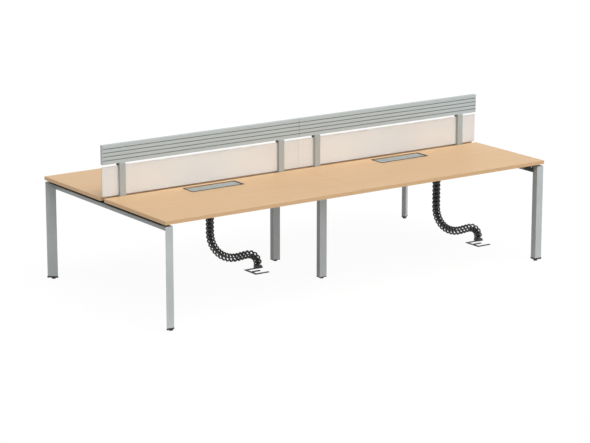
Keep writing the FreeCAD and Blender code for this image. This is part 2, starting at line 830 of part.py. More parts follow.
def make_link():
    """One link: a hoop on a bar across its hub, with a tongue above and a fork below."""
    body = new_body("link")
    hoop = [
        polygon("0", "0", "2 * link_reach", HOOP_SIDES),
        polygon("0", "0", "2 * (link_reach - link_wall)", HOOP_SIDES),
    ]
    pad(body, sketch_on(body, "XY_Plane", hoop), "link_height", symmetric=True)
    bar = centred("(2 * knuckle_radius)", "(2 * (link_reach - link_wall))")
    pad(body, sketch_on(body, "XY_Plane", [bar]), "link_height", symmetric=True)
    hub = centred("(2 * knuckle_radius)", "fork_depth")
    pad(body, sketch_on(body, "XY_Plane", [hub]), f"2 * {HUB_HALF}", symmetric=True)
    tongue = knuckle(HUB_HALF, "link_pitch / 2 + knuckle_tip")
    pad(body, sketch_on(body, "XZ_Plane", [tongue]), "tongue_thickness", symmetric=True)
    fork = knuckle(f"-{HUB_HALF}", "-link_pitch / 2 - knuckle_tip")
    pad(body, sketch_on(body, "XZ_Plane", [fork]), "fork_depth", symmetric=True)
    slot = knuckle(f"-{HUB_HALF}", "-link_pitch / 2 - knuckle_radius")
    cut_deep(
        body, sketch_on(body, "XZ_Plane", [slot]), "tongue_thickness + 2 * tongue_gap", symmetric=True)
    return body


class Route:
    """A riser's centre line: a plumb run, a sag, a rising run, a hump and a plumb end."""

    def __init__(self):
        turn = math.radians(size("riser_turn_angle"))
        sag = size("riser_sag_radius")
        hump = size("riser_hump_radius")
        pitch = size("link_pitch")
        self.top = size("tray_bottom") - size("collar_height") + size("knuckle_radius")
        end_top = size("floor_plate_thickness") + size("end_height")
        self.bottom = end_top + size("knuckle_radius") + size("knuckle_gap")
        gained = (sag + hump) * (turn - math.sin(turn))
        least = self.top - self.bottom + gained + size("riser_run") * (1 - math.cos(turn))
        self.count = math.ceil(least / pitch)
        spare = self.count * pitch - least
        run = size("riser_run") + spare / (1 - math.cos(turn))
        drop = size("riser_drop")
        plumb = self.count * pitch - (sag + hump) * turn - run - drop
        self.stretches = [
            (plumb, 0), (sag * turn, 1 / sag), (run, 0), (hump * turn, -1 / hump), (drop, 0)]
        self.span = self.point(self.count * pitch).x

    def point(self, distance):
        """The point at a distance along the line, from the top, in the bending plane."""
        spot = FreeCAD.Vector(0, 0, self.top)
        heading = 0
        for length, curve in self.stretches:
            step = max(0, min(length, distance))
            after = heading + curve * step
            if curve:
                spot.x += (math.cos(heading) - math.cos(after)) / curve
                spot.z += (math.sin(heading) - math.sin(after)) / curve
            else:
                spot.x += step * math.sin(heading)
                spot.z -= step * math.cos(heading)
            heading = after
            distance -= step
        return spot


def make_links(label, link, route, end, row):
    """Places the links along the route, each with its pivots on the centre line."""
    pitch = size("link_pitch")
    origin = FreeCAD.Vector(end - route.span, row, 0)
    copies = []
    for index in range(route.count):
        upper = route.point(index * pitch)
        lower = route.point((index + 1) * pitch)
        upright = FreeCAD.Rotation(FreeCAD.Vector(0, 0, 1), upper - lower)
        copies.append(link.Shape.copy())
        copies[-1].Placement = FreeCAD.Placement(origin + (upper + lower) / 2, upright)
    chain = doc.addObject("Part::Feature", label)
    chain.Shape = Part.makeCompound(copies)
    node(chain, label)


def make_collar():
    """The block under a tray that the first link hangs from, centred on the link."""
    body = new_body("collar")
    outline = centred("collar_width", "collar_width")
    pad(body, sketch_on(body, "XY_Plane", [outline]), "collar_height")
    half_slot = "(tongue_thickness / 2 + tongue_gap)"
    slot = rectangle(f"-{half_slot}", half_slot, "0", "2 * knuckle_radius + knuckle_gap")
    cut_through(body, sketch_on(body, "YZ_Plane", [slot]))
    return body


def make_riser_end():
    """The foot of a riser: a block with a tongue for the last link and a low flange."""
    body = new_body("riser_foot")
    pad(body, sketch_on(body, "XY_Plane", [centred("end_width", "end_width")]), "end_height")
    flange = rectangle("0", "end_flange", "-end_width / 2", "end_width / 2")
    pad(body, sketch_on(body, "XY_Plane", [flange]), "end_flange_height")
    pivot = "end_height + knuckle_radius + knuckle_gap"
    tongue = knuckle("end_height", f"{pivot} + knuckle_tip")
    pad(body, sketch_on(body, "XZ_Plane", [tongue]), "tongue_thickness", symmetric=True)
    return body


def make_floor_plate(label, end, row):
    """A flat plate of three prongs on a spine, with the riser's foot on its rear prong."""
    body = new_body(label)
    right = "floor_plate_over"
    left = "(floor_plate_over - floor_plate_length)"
    rear = "floor_plate_rear"
    front = "(floor_plate_rear - floor_plate_width)"
    spine = f"{left} + prong_width"
    middle = f"({rear} - floor_plate_width / 2)"
    outline = [
        (left, front),
        (right, front),
        (right, f"{front} + prong_width"),
        (spine, f"{front} + prong_width"),
        (spine, f"{middle} - prong_width / 2"),
        (f"{left} + middle_prong", f"{middle} - prong_width / 2"),
        (f"{left} + middle_prong", f"{middle} + prong_width / 2"),
        (spine, f"{middle} + prong_width / 2"),
        (spine, f"{rear} - prong_width"),
        (right, f"{rear} - prong_width"),
        (right, rear),
        (left, rear),
    ]
    pad(body, sketch_on(body, "XY_Plane", [outline]), "floor_plate_thickness")
    place(body, end, row)
    node(body, label)


def make_risers():
    link = make_link()
    collar = make_collar()
    riser_end = make_riser_end()
    doc.recompute()
    route = Route()
    collars = []
    ends = []
    ends_at = {
        "left": -size("riser_left_offset"),
        "right": size("desk_length") / 2 - size("riser_right_inset"),
    }
    for name, end in RISER_ENDS.items():
        row = f"riser_{name}_row"
        make_links(f"riser_links_{name}", link, route, ends_at[name], size(row))
        make_floor_plate(f"riser_plate_{name}", end, row)
        collars.append(copy_of(collar, f"{end} - {route.span}", row, "tray_bottom - collar_height"))
        ends.append(copy_of(riser_end, end, row, "floor_plate_thickness"))
    group("riser_collars", collars)
    group("riser_ends", ends)


# The whole desk

def build():
    for side_name, side in SIDES.items():
        make_end_bar(f"end_bar_{side_name}", side)
        make_rail(f"screen_rail_{side_name}", side)
        make_panel(f"screen_panel_{side_name}", side)
        make_post(f"screen_post_end_{side_name}", side, POST_END)
        make_post(f"screen_post_middle_{side_name}", side, "post_middle")
        make_tray(f"cable_tray_{side_name}", side)
        for row_name, row in ROWS.items():
            corner = f"{row_name}_{side_name}"
            make_leg(f"leg_{corner}", side, row)
            make_beam(f"beam_{corner}", side, row)
            make_board(f"top_{corner}", side, row)
            make_flap_frame(f"flap_frame_{corner}", side, row)
            make_flap_lid(f"flap_lid_{corner}", side, row)
    for row_name, row in ROWS.items():
        make_middle_leg(f"middle_leg_{row_name}", row)
    make_middle_bar()
    make_beam_plates()
    make_bolts()
    make_spacers()
    make_caps_and_feet()
    make_bands()
    make_flap_pins()
    make_rail_fittings()
    make_post_fittings()
    make_hangers()
    make_risers()
    doc.recompute()


def check():
    """Stops before anything is written if a piece failed or a cut took nothing away."""
    for thing in doc.Objects:
        if {"Invalid", "Error"} & set(thing.State):
            raise RuntimeError(f"{thing.Label} failed: {thing.State}")
        if thing.TypeId == "PartDesign::Pocket":
            if thing.BaseFeature.Shape.Volume - thing.Shape.Volume < 1:
                raise RuntimeError(f"{thing.Label} cuts nothing")
    for piece in nodes:
        if piece.Shape.isNull() or not piece.Shape.isValid():
            raise RuntimeError(f"{piece.Label} has no sound shape")


def export():
    os.makedirs("parts", exist_ok=True)
    for piece in nodes:
        piece.Shape.exportStep(f"parts/{piece.Label}.step")
    print(f"{len(nodes)} sub-parts, {sum(len(piece.Shape.Solids) for piece in nodes)} solids")


build()
check()
export()
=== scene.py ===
import json
import math

import bmesh
import bpy
from bpy.props import FloatProperty, FloatVectorProperty, IntProperty, PointerProperty
from bpy.types import Operator, Panel, PropertyGroup
from mathutils import Matrix, Vector

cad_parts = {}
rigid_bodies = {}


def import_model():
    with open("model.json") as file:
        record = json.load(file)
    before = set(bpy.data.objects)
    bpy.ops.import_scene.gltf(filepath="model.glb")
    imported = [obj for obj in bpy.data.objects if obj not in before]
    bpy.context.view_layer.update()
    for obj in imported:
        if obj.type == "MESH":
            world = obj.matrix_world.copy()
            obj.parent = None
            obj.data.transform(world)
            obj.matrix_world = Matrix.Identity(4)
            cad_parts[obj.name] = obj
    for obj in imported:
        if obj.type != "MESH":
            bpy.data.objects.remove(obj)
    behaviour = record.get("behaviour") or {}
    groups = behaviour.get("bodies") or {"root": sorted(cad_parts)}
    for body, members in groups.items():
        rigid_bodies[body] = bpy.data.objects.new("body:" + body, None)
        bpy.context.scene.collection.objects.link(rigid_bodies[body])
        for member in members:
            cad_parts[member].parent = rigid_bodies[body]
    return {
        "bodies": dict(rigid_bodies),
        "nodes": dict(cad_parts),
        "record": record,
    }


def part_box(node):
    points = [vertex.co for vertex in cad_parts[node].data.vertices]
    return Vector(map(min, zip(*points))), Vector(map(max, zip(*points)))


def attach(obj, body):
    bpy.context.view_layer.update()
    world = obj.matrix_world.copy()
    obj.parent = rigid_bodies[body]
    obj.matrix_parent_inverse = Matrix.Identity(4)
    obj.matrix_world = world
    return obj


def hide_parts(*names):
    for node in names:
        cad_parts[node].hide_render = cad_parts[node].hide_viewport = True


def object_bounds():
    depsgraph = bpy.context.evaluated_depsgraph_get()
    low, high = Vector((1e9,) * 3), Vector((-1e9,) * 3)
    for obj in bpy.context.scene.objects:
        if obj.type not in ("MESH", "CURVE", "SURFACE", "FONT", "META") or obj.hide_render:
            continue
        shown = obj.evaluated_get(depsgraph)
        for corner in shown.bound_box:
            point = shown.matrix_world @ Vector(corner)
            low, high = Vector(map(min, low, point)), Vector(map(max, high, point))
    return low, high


# A bench desk for four: finishes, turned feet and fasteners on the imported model, and a plain studio.
# Metres. X runs along the desk, -Y is the front row and +Z is up.

bl_info = {
    "name": "Bench Desk",
    "version": (1, 0, 0),
    "blender": (4, 5, 0),
    "location": "3D View > Sidebar > Desk",
    "description": "Finishes, feet and fasteners of a four-seat bench desk, with a plain studio",
    "category": "Add Mesh",
}

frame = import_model()
CAD_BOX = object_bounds()
DESK = "desk"
SIDES = ("left", "right")
CORNERS = [f"{row}_{side}" for row in ("front", "rear") for side in SIDES]
FEET = [f"{row}_{side}" for row in ("front", "rear") for side in ("left", "middle", "right")]
SLOTS = {part["node"]: part["material_slot"] for part in frame["record"]["subparts"]}
FINISHES = {}
MM = 0.001
RING = 24
WELD = 0.01 * MM
FLAT_ANGLE = math.radians(1.0)
CORNER_ANGLE = math.radians(35.0)
SHARP_ANGLE = math.radians(20.0)
FLOOR_LIGHT = 0.8
FLOOR_REACH = 60.0
FLOOR_DROP = 0.5 * MM

# Turned pieces, as pairs of a radius and a height
# A foot's radii are shares of its rim's, and a spacer's pairs are shares of its own radius and height

FOOT_PROFILE = (
    (0.90, 0.0), (0.97, 0.6 * MM), (1.0, 1.6 * MM), (1.0, 4.2 * MM), (0.96, 5.0 * MM), (0.74, 8.6 * MM))
STEM_RADIUS = 4.0 * MM
STEM_TIP = 3.2 * MM
STEM_CHAMFER = 1.0 * MM
RIB_LOW = 1.0 * MM
RIB_HIGH = 4.5 * MM
RIB_SHARE = 0.965
SPACER_PROFILE = (
    (0.94, 0.0), (1.0, 0.05), (1.0, 0.40), (0.90, 0.45), (0.90, 0.55), (1.0, 0.60), (1.0, 0.95), (0.94, 1.0))
PAN_PROFILE = ((1.0, 0.35), (0.93, 0.65), (0.78, 0.88), (0.58, 1.0))
PAN_SOCKET = 0.8
PAN_FLOOR = 0.4
BOLT_CHAMFER = 0.2

# A packed bolt's points belong to its head or its shank by their share of the head's radius

HEAD_FROM = 0.9
SHANK_TO = 0.75

# A link of the cable risers
# A packed link's points belong to its rim or its tongue by their share of its half width

RIM_FROM = 0.98
TONGUE_TO = 0.09
HOOP_BORE = 0.75
HOOP_CHAMFER = 0.3
LUG_DEPTH = 7.4 * MM
LUG_WIDTH = 18.0 * MM
LUG_INSET = 4.2 * MM
SPOKE = (5.0 * MM, 10.0 * MM)
SPOKE_OVERLAP = 2.0 * MM
WEB_SPAN = 1.5
WEB_THICKNESS = 4.0 * MM
HUB = (5.6 * MM, 14.0 * MM, 20.7 * MM)
TONGUE = (5.6 * MM, 5.0 * MM, 8.8 * MM)
CHEEK = (5.6 * MM, 4.3 * MM, 8.8 * MM)
CHEEK_OFFSET = 4.85 * MM
KNUCKLE_LEVEL = 13.8 * MM

# The brush strips in the cable slots

BRUSH_OFFSET = 7.8 * MM
BRUSH_DROP = 11.0 * MM
BRUSH_SECTION = (3.6 * MM, 10.0 * MM)
BRUSH_EDGE = 0.4 * MM
TUFT_ROWS = 1.8 * MM
TUFT_DROP = 7.0 * MM
TUFT_FOOT = 1.4 * MM
TUFT_TIP = 0.6 * MM
TUFT_SIDES = 5
TUFT_LEAN = 0.10
TUFT_RAGGED = 0.06
LEAN_STEP = 2.7
ROW_STEP = 1.9
RAGGED_STEP = 1.3

# Thin trim

# Faces of the bands turned this far to the ends take a lighter copy of the wood: painted light on the end
# faces
LIGHTENED_END_FACING = 0.9
TRIM_MARGIN = 6.0 * MM
GASKET_INSET = (0.4 * MM, 1.0 * MM)
TRAY_FOOT = 3.0 * MM


# Settings that a user may change

def colour(name, text, default):
    """A colour that a user may change."""
    return FloatVectorProperty(
        name=name, description=text, subtype="COLOR", size=3, min=0.0, max=1.0, default=default)


def length(name, text, default):
    """A length in metres."""
    return FloatProperty(
        name=name, description=text, subtype="DISTANCE", unit="LENGTH", min=0.0, precision=5,
        default=default)


def angle_setting(name, text, degrees):
    """An angle, given in degrees."""
    return FloatProperty(name=name, description=text, subtype="ANGLE", default=math.radians(degrees))


def light_strength(name, text, default):
    """The strength of a light."""
    return FloatProperty(name=name, description=text, min=0.0, default=default)


def light_from(name, text, default):
    """Where a light comes from."""
    return FloatVectorProperty(name=name, description=text, subtype="XYZ", size=3, default=default)


def share(name, text, default):
    """A share from 0 to 1."""
    return FloatProperty(name=name, description=text, subtype="FACTOR", min=0.0, max=1.0, default=default)


class DeskColours(PropertyGroup):
    """Colours of the desk's finishes"""
    wood: colour("Wood", "Pale ground of the worktops", (0.745, 0.476, 0.246))
    wood_fleck: colour("Wood fleck", "Short dark rays in the wood", (0.600, 0.355, 0.165))
    wood_light: colour("Wood light", "Broad pale bands in the wood", (0.762, 0.492, 0.258))
    paint: colour("Frame paint", "Silver-grey powder coat", (0.560, 0.592, 0.588))
    steel: colour("Steel", "Zinc-plated bolts and screws", (0.560, 0.570, 0.580))
    aluminium: colour("Aluminium", "Anodised lids and posts", (0.375, 0.440, 0.444))
    rail: colour("Rail", "Anodised top rail of the screen", (0.500, 0.556, 0.562))
    glass: colour("Glass", "Milky tint of the frosted screen", (0.990, 0.975, 0.955))
    # The grooves' colour is painted shade in the recesses of the rail
    groove: colour("Groove", "Shaded grooves of the top rail", (0.250, 0.275, 0.280))
    post: colour("Post", "Anodised posts of the screen", (0.425, 0.460, 0.460))
    grey_plastic: colour("Grey plastic", "Moulded end caps of the rail", (0.760, 0.790, 0.780))
    dark_plastic: colour("Dark plastic", "Leg caps and feet", (0.022, 0.024, 0.024))
    riser: colour("Riser", "Black moulded links of the cable risers", (0.031, 0.034, 0.031))
    floor_plate: colour("Floor plate", "Dark powder coat of the risers' plates", (0.062, 0.065, 0.062))


class DeskSizes(PropertyGroup):
    """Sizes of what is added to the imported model"""
    board_edge: length("Board edge", "Rounding of the worktops' edges", 0.0002)
    band: length("Edge band", "Thickness of the strips on the worktops' edges", 0.002)
    metal_edge: length("Metal edge", "Rounding of tubes, rails and plates", 0.0005)
    plastic_edge: length("Plastic edge", "Rounding of moulded pieces", 0.0007)
    socket: length("Socket", "Width over the flats of the bolts' hexagon sockets", 0.005)
    socket_depth: length("Socket depth", "Depth of the bolts' hexagon sockets", 0.0024)
    screw_head: length("Screw head", "Diameter of the pan heads under the worktops", 0.009)
    screw_height: length("Screw height", "Height of the pan heads under the worktops", 0.0026)
    tuft_pitch: length("Tuft pitch", "Spacing of the tufts in the slot brushes", 0.0026)
    tuft_height: length("Tuft height", "Height of the tufts in the slot brushes", 0.0085)
    rim_width: length("Rim width", "How far the slots' rims lie on the worktops", 0.005)
    rim_height: length("Rim height", "How far the slots' rims stand above the worktops", 0.0035)
    flange: length("Flange", "How far the flaps' frames reach past the cut-outs", 0.020)
    hoop_reach: length("Hoop reach", "How far the risers' hoops stand out past the packed links", 0.0015)
    hoop_height: length("Hoop height", "Height of the risers' hoops", 0.014)
    lug_height: length("Lug height", "Height of the lugs on the risers' hoops", 0.017)
    web_height: length("Web height", "Height of the webs across the risers' hoops", 0.0285)
    hoop_tilt: angle_setting("Hoop tilt", "How far the risers' hoops lean", -22.0)
    web_turn: angle_setting("Web turn", "How far the webs are turned in the hoops", -70.0)
    # The plates inside the frames' corners are dark sheets that paint shade under the worktops
    shade_plate_length: length("Plate length", "Length of the plates inside the frames' corners", 0.100)
    shade_plate_thickness: length("Plate thickness", "Thickness of the plates inside the frames' corners", 0.0015)
    shade_plate_overhang: length("Plate overhang", "How far those plates pass their screws", 0.018)
    clip_trim: length("Clip trim", "How much the screen's clips are cut back at each face", 0.004)
    # The dark strips on the end bars, called felt in these settings, are painted shade in the gap under the
    # worktops
    gap_shade_thickness: length("Tape thickness", "Thickness of the felt on the end bars", 0.002)
    gap_shade_inset: length("Tape inset", "How far the felt stops before the ends of the bars", 0.070)
    gasket: length("Gasket", "Thickness of the gasket between the rails", 0.003)
    cap_collar: length("Cap collar", "How far the caps reach up round the legs", 0.006)
    tray_slope: length("Tray slope", "How far the ends of the cable trays slope back", 0.020)
    rib_count: IntProperty(
        name="Rib count", description="Grip ribs round each levelling foot", min=6, max=48, default=24)


class DeskStage(PropertyGroup):
    """Camera, light and floor"""
    camera: FloatVectorProperty(
        name="Camera", description="Where the camera stands", subtype="XYZ", unit="LENGTH", size=3,
        default=(-9.2298, -13.2170, 4.3444))
    yaw: angle_setting("Yaw", "How far the view turns from +Y towards +X", 34.85)
    pitch: angle_setting("Pitch", "How far the view looks down", 13.91)
    lens: FloatProperty(
        name="Lens", description="Focal length in millimetres", subtype="DISTANCE_CAMERA", min=20.0,
        default=142.27)
    ambient: share("Ambient", "Brightness of the surrounding light", 0.36)
    key: light_strength("Key", "Strength of the main light", 1.70)
    key_from: light_from("Key from", "Where the main light comes from", (0.08, -0.40, 0.91))
    fill: light_strength("Fill", "Strength of the low front light", 0.86)
    fill_from: light_from("Fill from", "Where the low front light comes from", (0.25, -0.95, 0.20))
    spread: angle_setting("Light spread", "Apparent size of both lights", 50.0)
    floor_grey: share("Floor", "How much light the floor gives back", 0.42)
    shadow: share("Shadow", "How strongly the floor shows the desk's shadow", 0.16)


# Node trees

def link(tree, source, target):
    """Joins an output to an input."""
    tree.links.new(source, target)


def new_group(name, outputs):
    """An empty shader group that reads a position and gives varying values."""
    tree = bpy.data.node_groups.new(name, "ShaderNodeTree")
    tree.interface.new_socket("Position", in_out="INPUT", socket_type="NodeSocketVector")
    for output in outputs:
        tree.interface.new_socket(output, in_out="OUTPUT", socket_type="NodeSocketFloat")
    return tree, tree.nodes.new("NodeGroupInput"), tree.nodes.new("NodeGroupOutput")


def streaks(tree, position, stretch, detail):
    """Noise stretched by a factor along each axis."""
    scaled = tree.nodes.new("ShaderNodeVectorMath")
    scaled.operation = "MULTIPLY"
    scaled.inputs[1].default_value = stretch
    link(tree, position, scaled.inputs[0])
    noise = tree.nodes.new("ShaderNodeTexNoise")
    noise.inputs["Scale"].default_value = 1.0
    noise.inputs["Detail"].default_value = detail
    noise.inputs["Roughness"].default_value = 0.55
    link(tree, scaled.outputs[0], noise.inputs["Vector"])
    return noise.outputs["Fac"]


def remap(tree, value, low, high, to_low=0.0, to_high=1.0):
    """Stretches a range of values to another one."""
    mapped = tree.nodes.new("ShaderNodeMapRange")
    ends = {"From Min": low, "From Max": high, "To Min": to_low, "To Max": to_high}
    for socket, number in ends.items():
        mapped.inputs[socket].default_value = number
    link(tree, value, mapped.inputs["Value"])
    return mapped.outputs["Result"]


def combine(tree, operation, first, second):
    """A math node on two values."""
    node = tree.nodes.new("ShaderNodeMath")
    node.operation = operation
    link(tree, first, node.inputs[0])
    link(tree, second, node.inputs[1])
    return node.outputs[0]


def blend(tree, factor, first, second):
    """Mixes two colours, each a socket or fixed numbers."""
    mix = tree.nodes.new("ShaderNodeMix")
    mix.data_type = "RGBA"
    link(tree, factor, mix.inputs["Factor"])
    for source, target in ((first, mix.inputs[6]), (second, mix.inputs[7])):
        if isinstance(source, bpy.types.NodeSocket):
            link(tree, source, target)
        else:
            target.default_value = (*source, 1.0)
    return mix.outputs[2]


def wood_grain():
    """Straight beech grain along X: broad bands, short dark rays and fine pores."""
    tree, start, end = new_group("WoodGrain", ("Band", "Fleck", "Height"))
    position = start.outputs["Position"]
    band = remap(tree, streaks(tree, position, (0.9, 26.0, 26.0), 5.0), 0.32, 0.68)
    ray = remap(tree, streaks(tree, position, (24.0, 460.0, 460.0), 1.0), 0.60, 0.72)
    patch = remap(tree, streaks(tree, position, (2.5, 9.0, 9.0), 2.0), 0.35, 0.60, 0.25, 1.0)
    link(tree, band, end.inputs["Band"])
    link(tree, combine(tree, "MULTIPLY", ray, patch), end.inputs["Fleck"])
    link(tree, streaks(tree, position, (30.0, 1300.0, 1300.0), 2.0), end.inputs["Height"])
    return tree


def fine_skin(name, spacing, cloud):
    """A fine even skin, such as powder coat or moulded plastic, with slow changes of tone."""
    tree, start, end = new_group(name, ("Tone", "Height"))
    position = start.outputs["Position"]
    pitch = 1.0 / spacing
    tone = streaks(tree, position, (cloud,) * 3, 3.0)
    link(tree, remap(tree, tone, 0.30, 0.70), end.inputs["Tone"])
    link(tree, streaks(tree, position, (pitch,) * 3, 2.0), end.inputs["Height"])
    return tree


def brushed_lines():
    """Fine lines along X, as on drawn and anodised metal."""
    tree, start, end = new_group("BrushedLines", ("Line", "Height"))
    position = start.outputs["Position"]
    lines = streaks(tree, position, (5.0, 1100.0, 1100.0), 3.0)
    link(tree, remap(tree, lines, 0.30, 0.70), end.inputs["Line"])
    link(tree, lines, end.inputs["Height"])
    return tree


def new_material(name, group):
    """A material whose group reads the piece's own coordinates."""
    material = bpy.data.materials.new(f"{name}_finish")
    FINISHES[name] = material
    material.use_nodes = True
    tree = material.node_tree
    place = tree.nodes.new("ShaderNodeTexCoord")
    detail = tree.nodes.new("ShaderNodeGroup")
    detail.node_tree = group
    link(tree, place.outputs["Object"], detail.inputs["Position"])
    return material, tree, tree.nodes["Principled BSDF"], detail.outputs


def add_bump(tree, shader, height, amount, depth):
    """Roughens a surface with a height that varies over it."""
    bump = tree.nodes.new("ShaderNodeBump")
    bump.inputs["Strength"].default_value = amount
    bump.inputs["Distance"].default_value = depth
    link(tree, height, bump.inputs["Height"])
    link(tree, bump.outputs["Normal"], shader.inputs["Normal"])


def tint_between(tree, shader, value, tint, low, high):
    """Lets the colour drift between two shades of a tint."""
    drift = blend(tree, value, shade(tint, low), shade(tint, high))
    link(tree, drift, shader.inputs["Base Color"])


def gloss_between(tree, shader, value, low, high):
    """Lets the roughness drift between two values."""
    link(tree, remap(tree, value, 0.0, 1.0, low, high), shader.inputs["Roughness"])


def shade(tint, factor):
    """A lighter or darker shade of a colour."""
    return tuple(min(1.0, channel * factor) for channel in tint)


def wood_material(name, colours, tone, group):
    """Lacquered wood with pale bands and short dark rays."""
    material, tree, shader, detail = new_material(name, group)
    ground = blend(tree, detail["Band"], shade(colours.wood, tone), shade(colours.wood_light, tone))
    fleck = remap(tree, detail["Fleck"], 0.0, 1.0, 0.0, 0.22)
    link(tree, blend(tree, fleck, ground, shade(colours.wood_fleck, tone)), shader.inputs["Base Color"])
    gloss_between(tree, shader, detail["Band"], 0.52, 0.44)
    shader.inputs["Coat Weight"].default_value = 0.08
    shader.inputs["Coat Roughness"].default_value = 0.35
    add_bump(tree, shader, detail["Height"], 0.12, 0.2 * MM)
    return material


def skin_material(name, tint, group, rough, metal=0.0):
    """Paint or moulded plastic: a tone that drifts a little and a fine skin."""
    material, tree, shader, detail = new_material(name, group)
    tint_between(tree, shader, detail["Tone"], tint, 0.94, 1.06)
    gloss_between(tree, shader, detail["Tone"], *rough)
    shader.inputs["Metallic"].default_value = metal
    add_bump(tree, shader, detail["Height"], 0.15, 0.2 * MM)
    return material


def metal_material(name, tint, group, rough, metal):
    """Drawn or anodised metal with fine lines."""
    material, tree, shader, detail = new_material(name, group)
    tint_between(tree, shader, detail["Line"], tint, 0.96, 1.04)
    gloss_between(tree, shader, detail["Line"], *rough)
    shader.inputs["Metallic"].default_value = metal
    add_bump(tree, shader, detail["Height"], 0.06, 0.1 * MM)
    return material


def glass_material(tint, group):
    """Acid-etched glass: mostly milky, with a little light through it."""
    material, tree, shader, detail = new_material("frosted_glass", group)
    tint_between(tree, shader, detail["Tone"], tint, 0.98, 1.03)
    gloss_between(tree, shader, detail["Tone"], 0.50, 0.62)
    shader.inputs["Transmission Weight"].default_value = 0.35
    shader.inputs["IOR"].default_value = 1.50
    add_bump(tree, shader, detail["Height"], 0.08, 0.1 * MM)
    return material


def make_materials(colours):
    """The finishes of the desk, made once and kept by name."""
    if FINISHES:
        return FINISHES
    grain = wood_grain()
    powder = fine_skin("PowderCoat", 0.0011, 5.0)
    moulded = fine_skin("MouldedPlastic", 0.0008, 14.0)
    frost = fine_skin("Frost", 0.0005, 1.6)
    lines = brushed_lines()
    wood_material("wood", colours, 1.0, grain)
    wood_material("wood_edge", colours, 0.97, grain)
    # A lighter copy of the wood for the bands' end faces: painted light
    wood_material("wood_end_painted_light", colours, 1.28, grain)
    skin_material("frame_paint", colours.paint, powder, (0.46, 0.56), metal=0.08)
    # A darker copy of the frame paint for the end bars: painted shade
    skin_material("bar_paint_painted_shade", shade(colours.paint, 0.56), powder, (0.46, 0.56), metal=0.08)
    metal_material("bolt_steel", colours.steel, lines, (0.25, 0.38), 0.9)
    metal_material("aluminium", colours.aluminium, lines, (0.36, 0.46), 0.35)
    metal_material("post", colours.post, lines, (0.36, 0.46), 0.35)
    metal_material("rail_aluminium", colours.rail, lines, (0.34, 0.44), 0.35)
    # Painted shade in the rail's grooves
    metal_material("rail_groove_shade", colours.groove, lines, (0.50, 0.60), 0.2)
    glass_material(colours.glass, frost)
    skin_material("grey_plastic", colours.grey_plastic, moulded, (0.45, 0.58))
    skin_material("dark_plastic", colours.dark_plastic, moulded, (0.40, 0.55))
    skin_material("riser_plastic", colours.riser, moulded, (0.38, 0.52))
    skin_material("floor_plate_paint", colours.floor_plate, powder, (0.40, 0.52))
    return FINISHES


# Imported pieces

def solid_of(name):
    """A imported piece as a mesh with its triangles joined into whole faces."""
    mesh = bmesh.new()
    mesh.from_mesh(frame["nodes"][name].data)
    bmesh.ops.remove_doubles(mesh, verts=mesh.verts[:], dist=WELD)
    bmesh.ops.dissolve_limit(
        mesh, angle_limit=FLAT_ANGLE, use_dissolve_boundaries=False,
        verts=mesh.verts[:], edges=mesh.edges[:])
    return mesh


def bevel(mesh, edges, offset, segments):
    """Rounds edges."""
    bmesh.ops.bevel(
        mesh, geom=edges, offset=offset, offset_type="OFFSET", segments=segments, profile=0.5,
        affect="EDGES", clamp_overlap=True, material=-1)


def rounded(name, edge, reshape=None):
    """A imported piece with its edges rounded, after a change of its points where one is given."""
    mesh = solid_of(name)
    for vert in mesh.verts if reshape else ():
        vert.co = reshape(vert.co)
    inner = [item for item in mesh.edges if len(item.link_faces) == 2]
    sharp = [item for item in inner if item.calc_face_angle() > CORNER_ANGLE]
    bevel(mesh, sharp, edge, 2)
    return mesh


def dress(context, names, edge, finish=None, reshape=None):
    """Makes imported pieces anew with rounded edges, in their finish."""
    for name in names:
        body = f"{name}_body" if f"{name}_body" in frame["bodies"] else DESK
        mesh = rounded(name, edge, reshape)
        add_piece(context, mesh, f"{name}_finished", body, SLOTS[name], [name], finish)


def solids_of(name):
    """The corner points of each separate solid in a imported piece."""
    mesh = bmesh.new()
    mesh.from_mesh(frame["nodes"][name].data)
    bmesh.ops.remove_doubles(mesh, verts=mesh.verts[:], dist=WELD)
    waiting = dict.fromkeys(mesh.verts)
    solids = []
    while waiting:
        front = [waiting.popitem()[0]]
        points = []
        while front:
            vert = front.pop()
            points.append(vert.co.copy())
            for edge in vert.link_edges:
                other = edge.other_vert(vert)
                if other in waiting:
                    del waiting[other]
                    front.append(other)
        solids.append(points)
    mesh.free()
    return solids


def limits(points):
    """The two far corners of a set of points."""
    low = Vector([min(point[axis] for point in points) for axis in range(3)])
    high = Vector([max(point[axis] for point in points) for axis in range(3)])
    return low, high


def box_of(name):
    """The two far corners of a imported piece."""
    low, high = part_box(name)
    return Vector(low), Vector(high)


# New pieces

def add_piece(context, mesh, name, body, slot, replaced=(), finish=None, second=None):
    """Turns a finished mesh into a piece that rides on a body; faces of index 1 take the second finish."""
    bmesh.ops.recalc_face_normals(mesh, faces=mesh.faces[:])
    data = bpy.data.meshes.new(name)
    mesh.to_mesh(data)
    mesh.free()
    piece = bpy.data.objects.new(name, data)
    context.scene.collection.objects.link(piece)
    finishes = make_materials(context.scene.desk_colours)
    data.materials.append(finishes[finish or slot])
    if second:
        data.materials.append(finishes[second])
    data.shade_smooth()
    data.set_sharp_from_angle(angle=SHARP_ANGLE)
    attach(piece, body)
    if replaced:
        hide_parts(*replaced)
    return piece


def edges_of(verts):
    """The edges at some points, each once and always in the same order."""
    return list(dict.fromkeys(edge for vert in verts for edge in vert.link_edges))


def ring(mesh, radius, segments=RING):
    """A closed ring of edges about Z at the origin."""
    verts = bmesh.ops.create_circle(mesh, cap_ends=False, radius=radius, segments=segments)["verts"]
    return edges_of(verts)


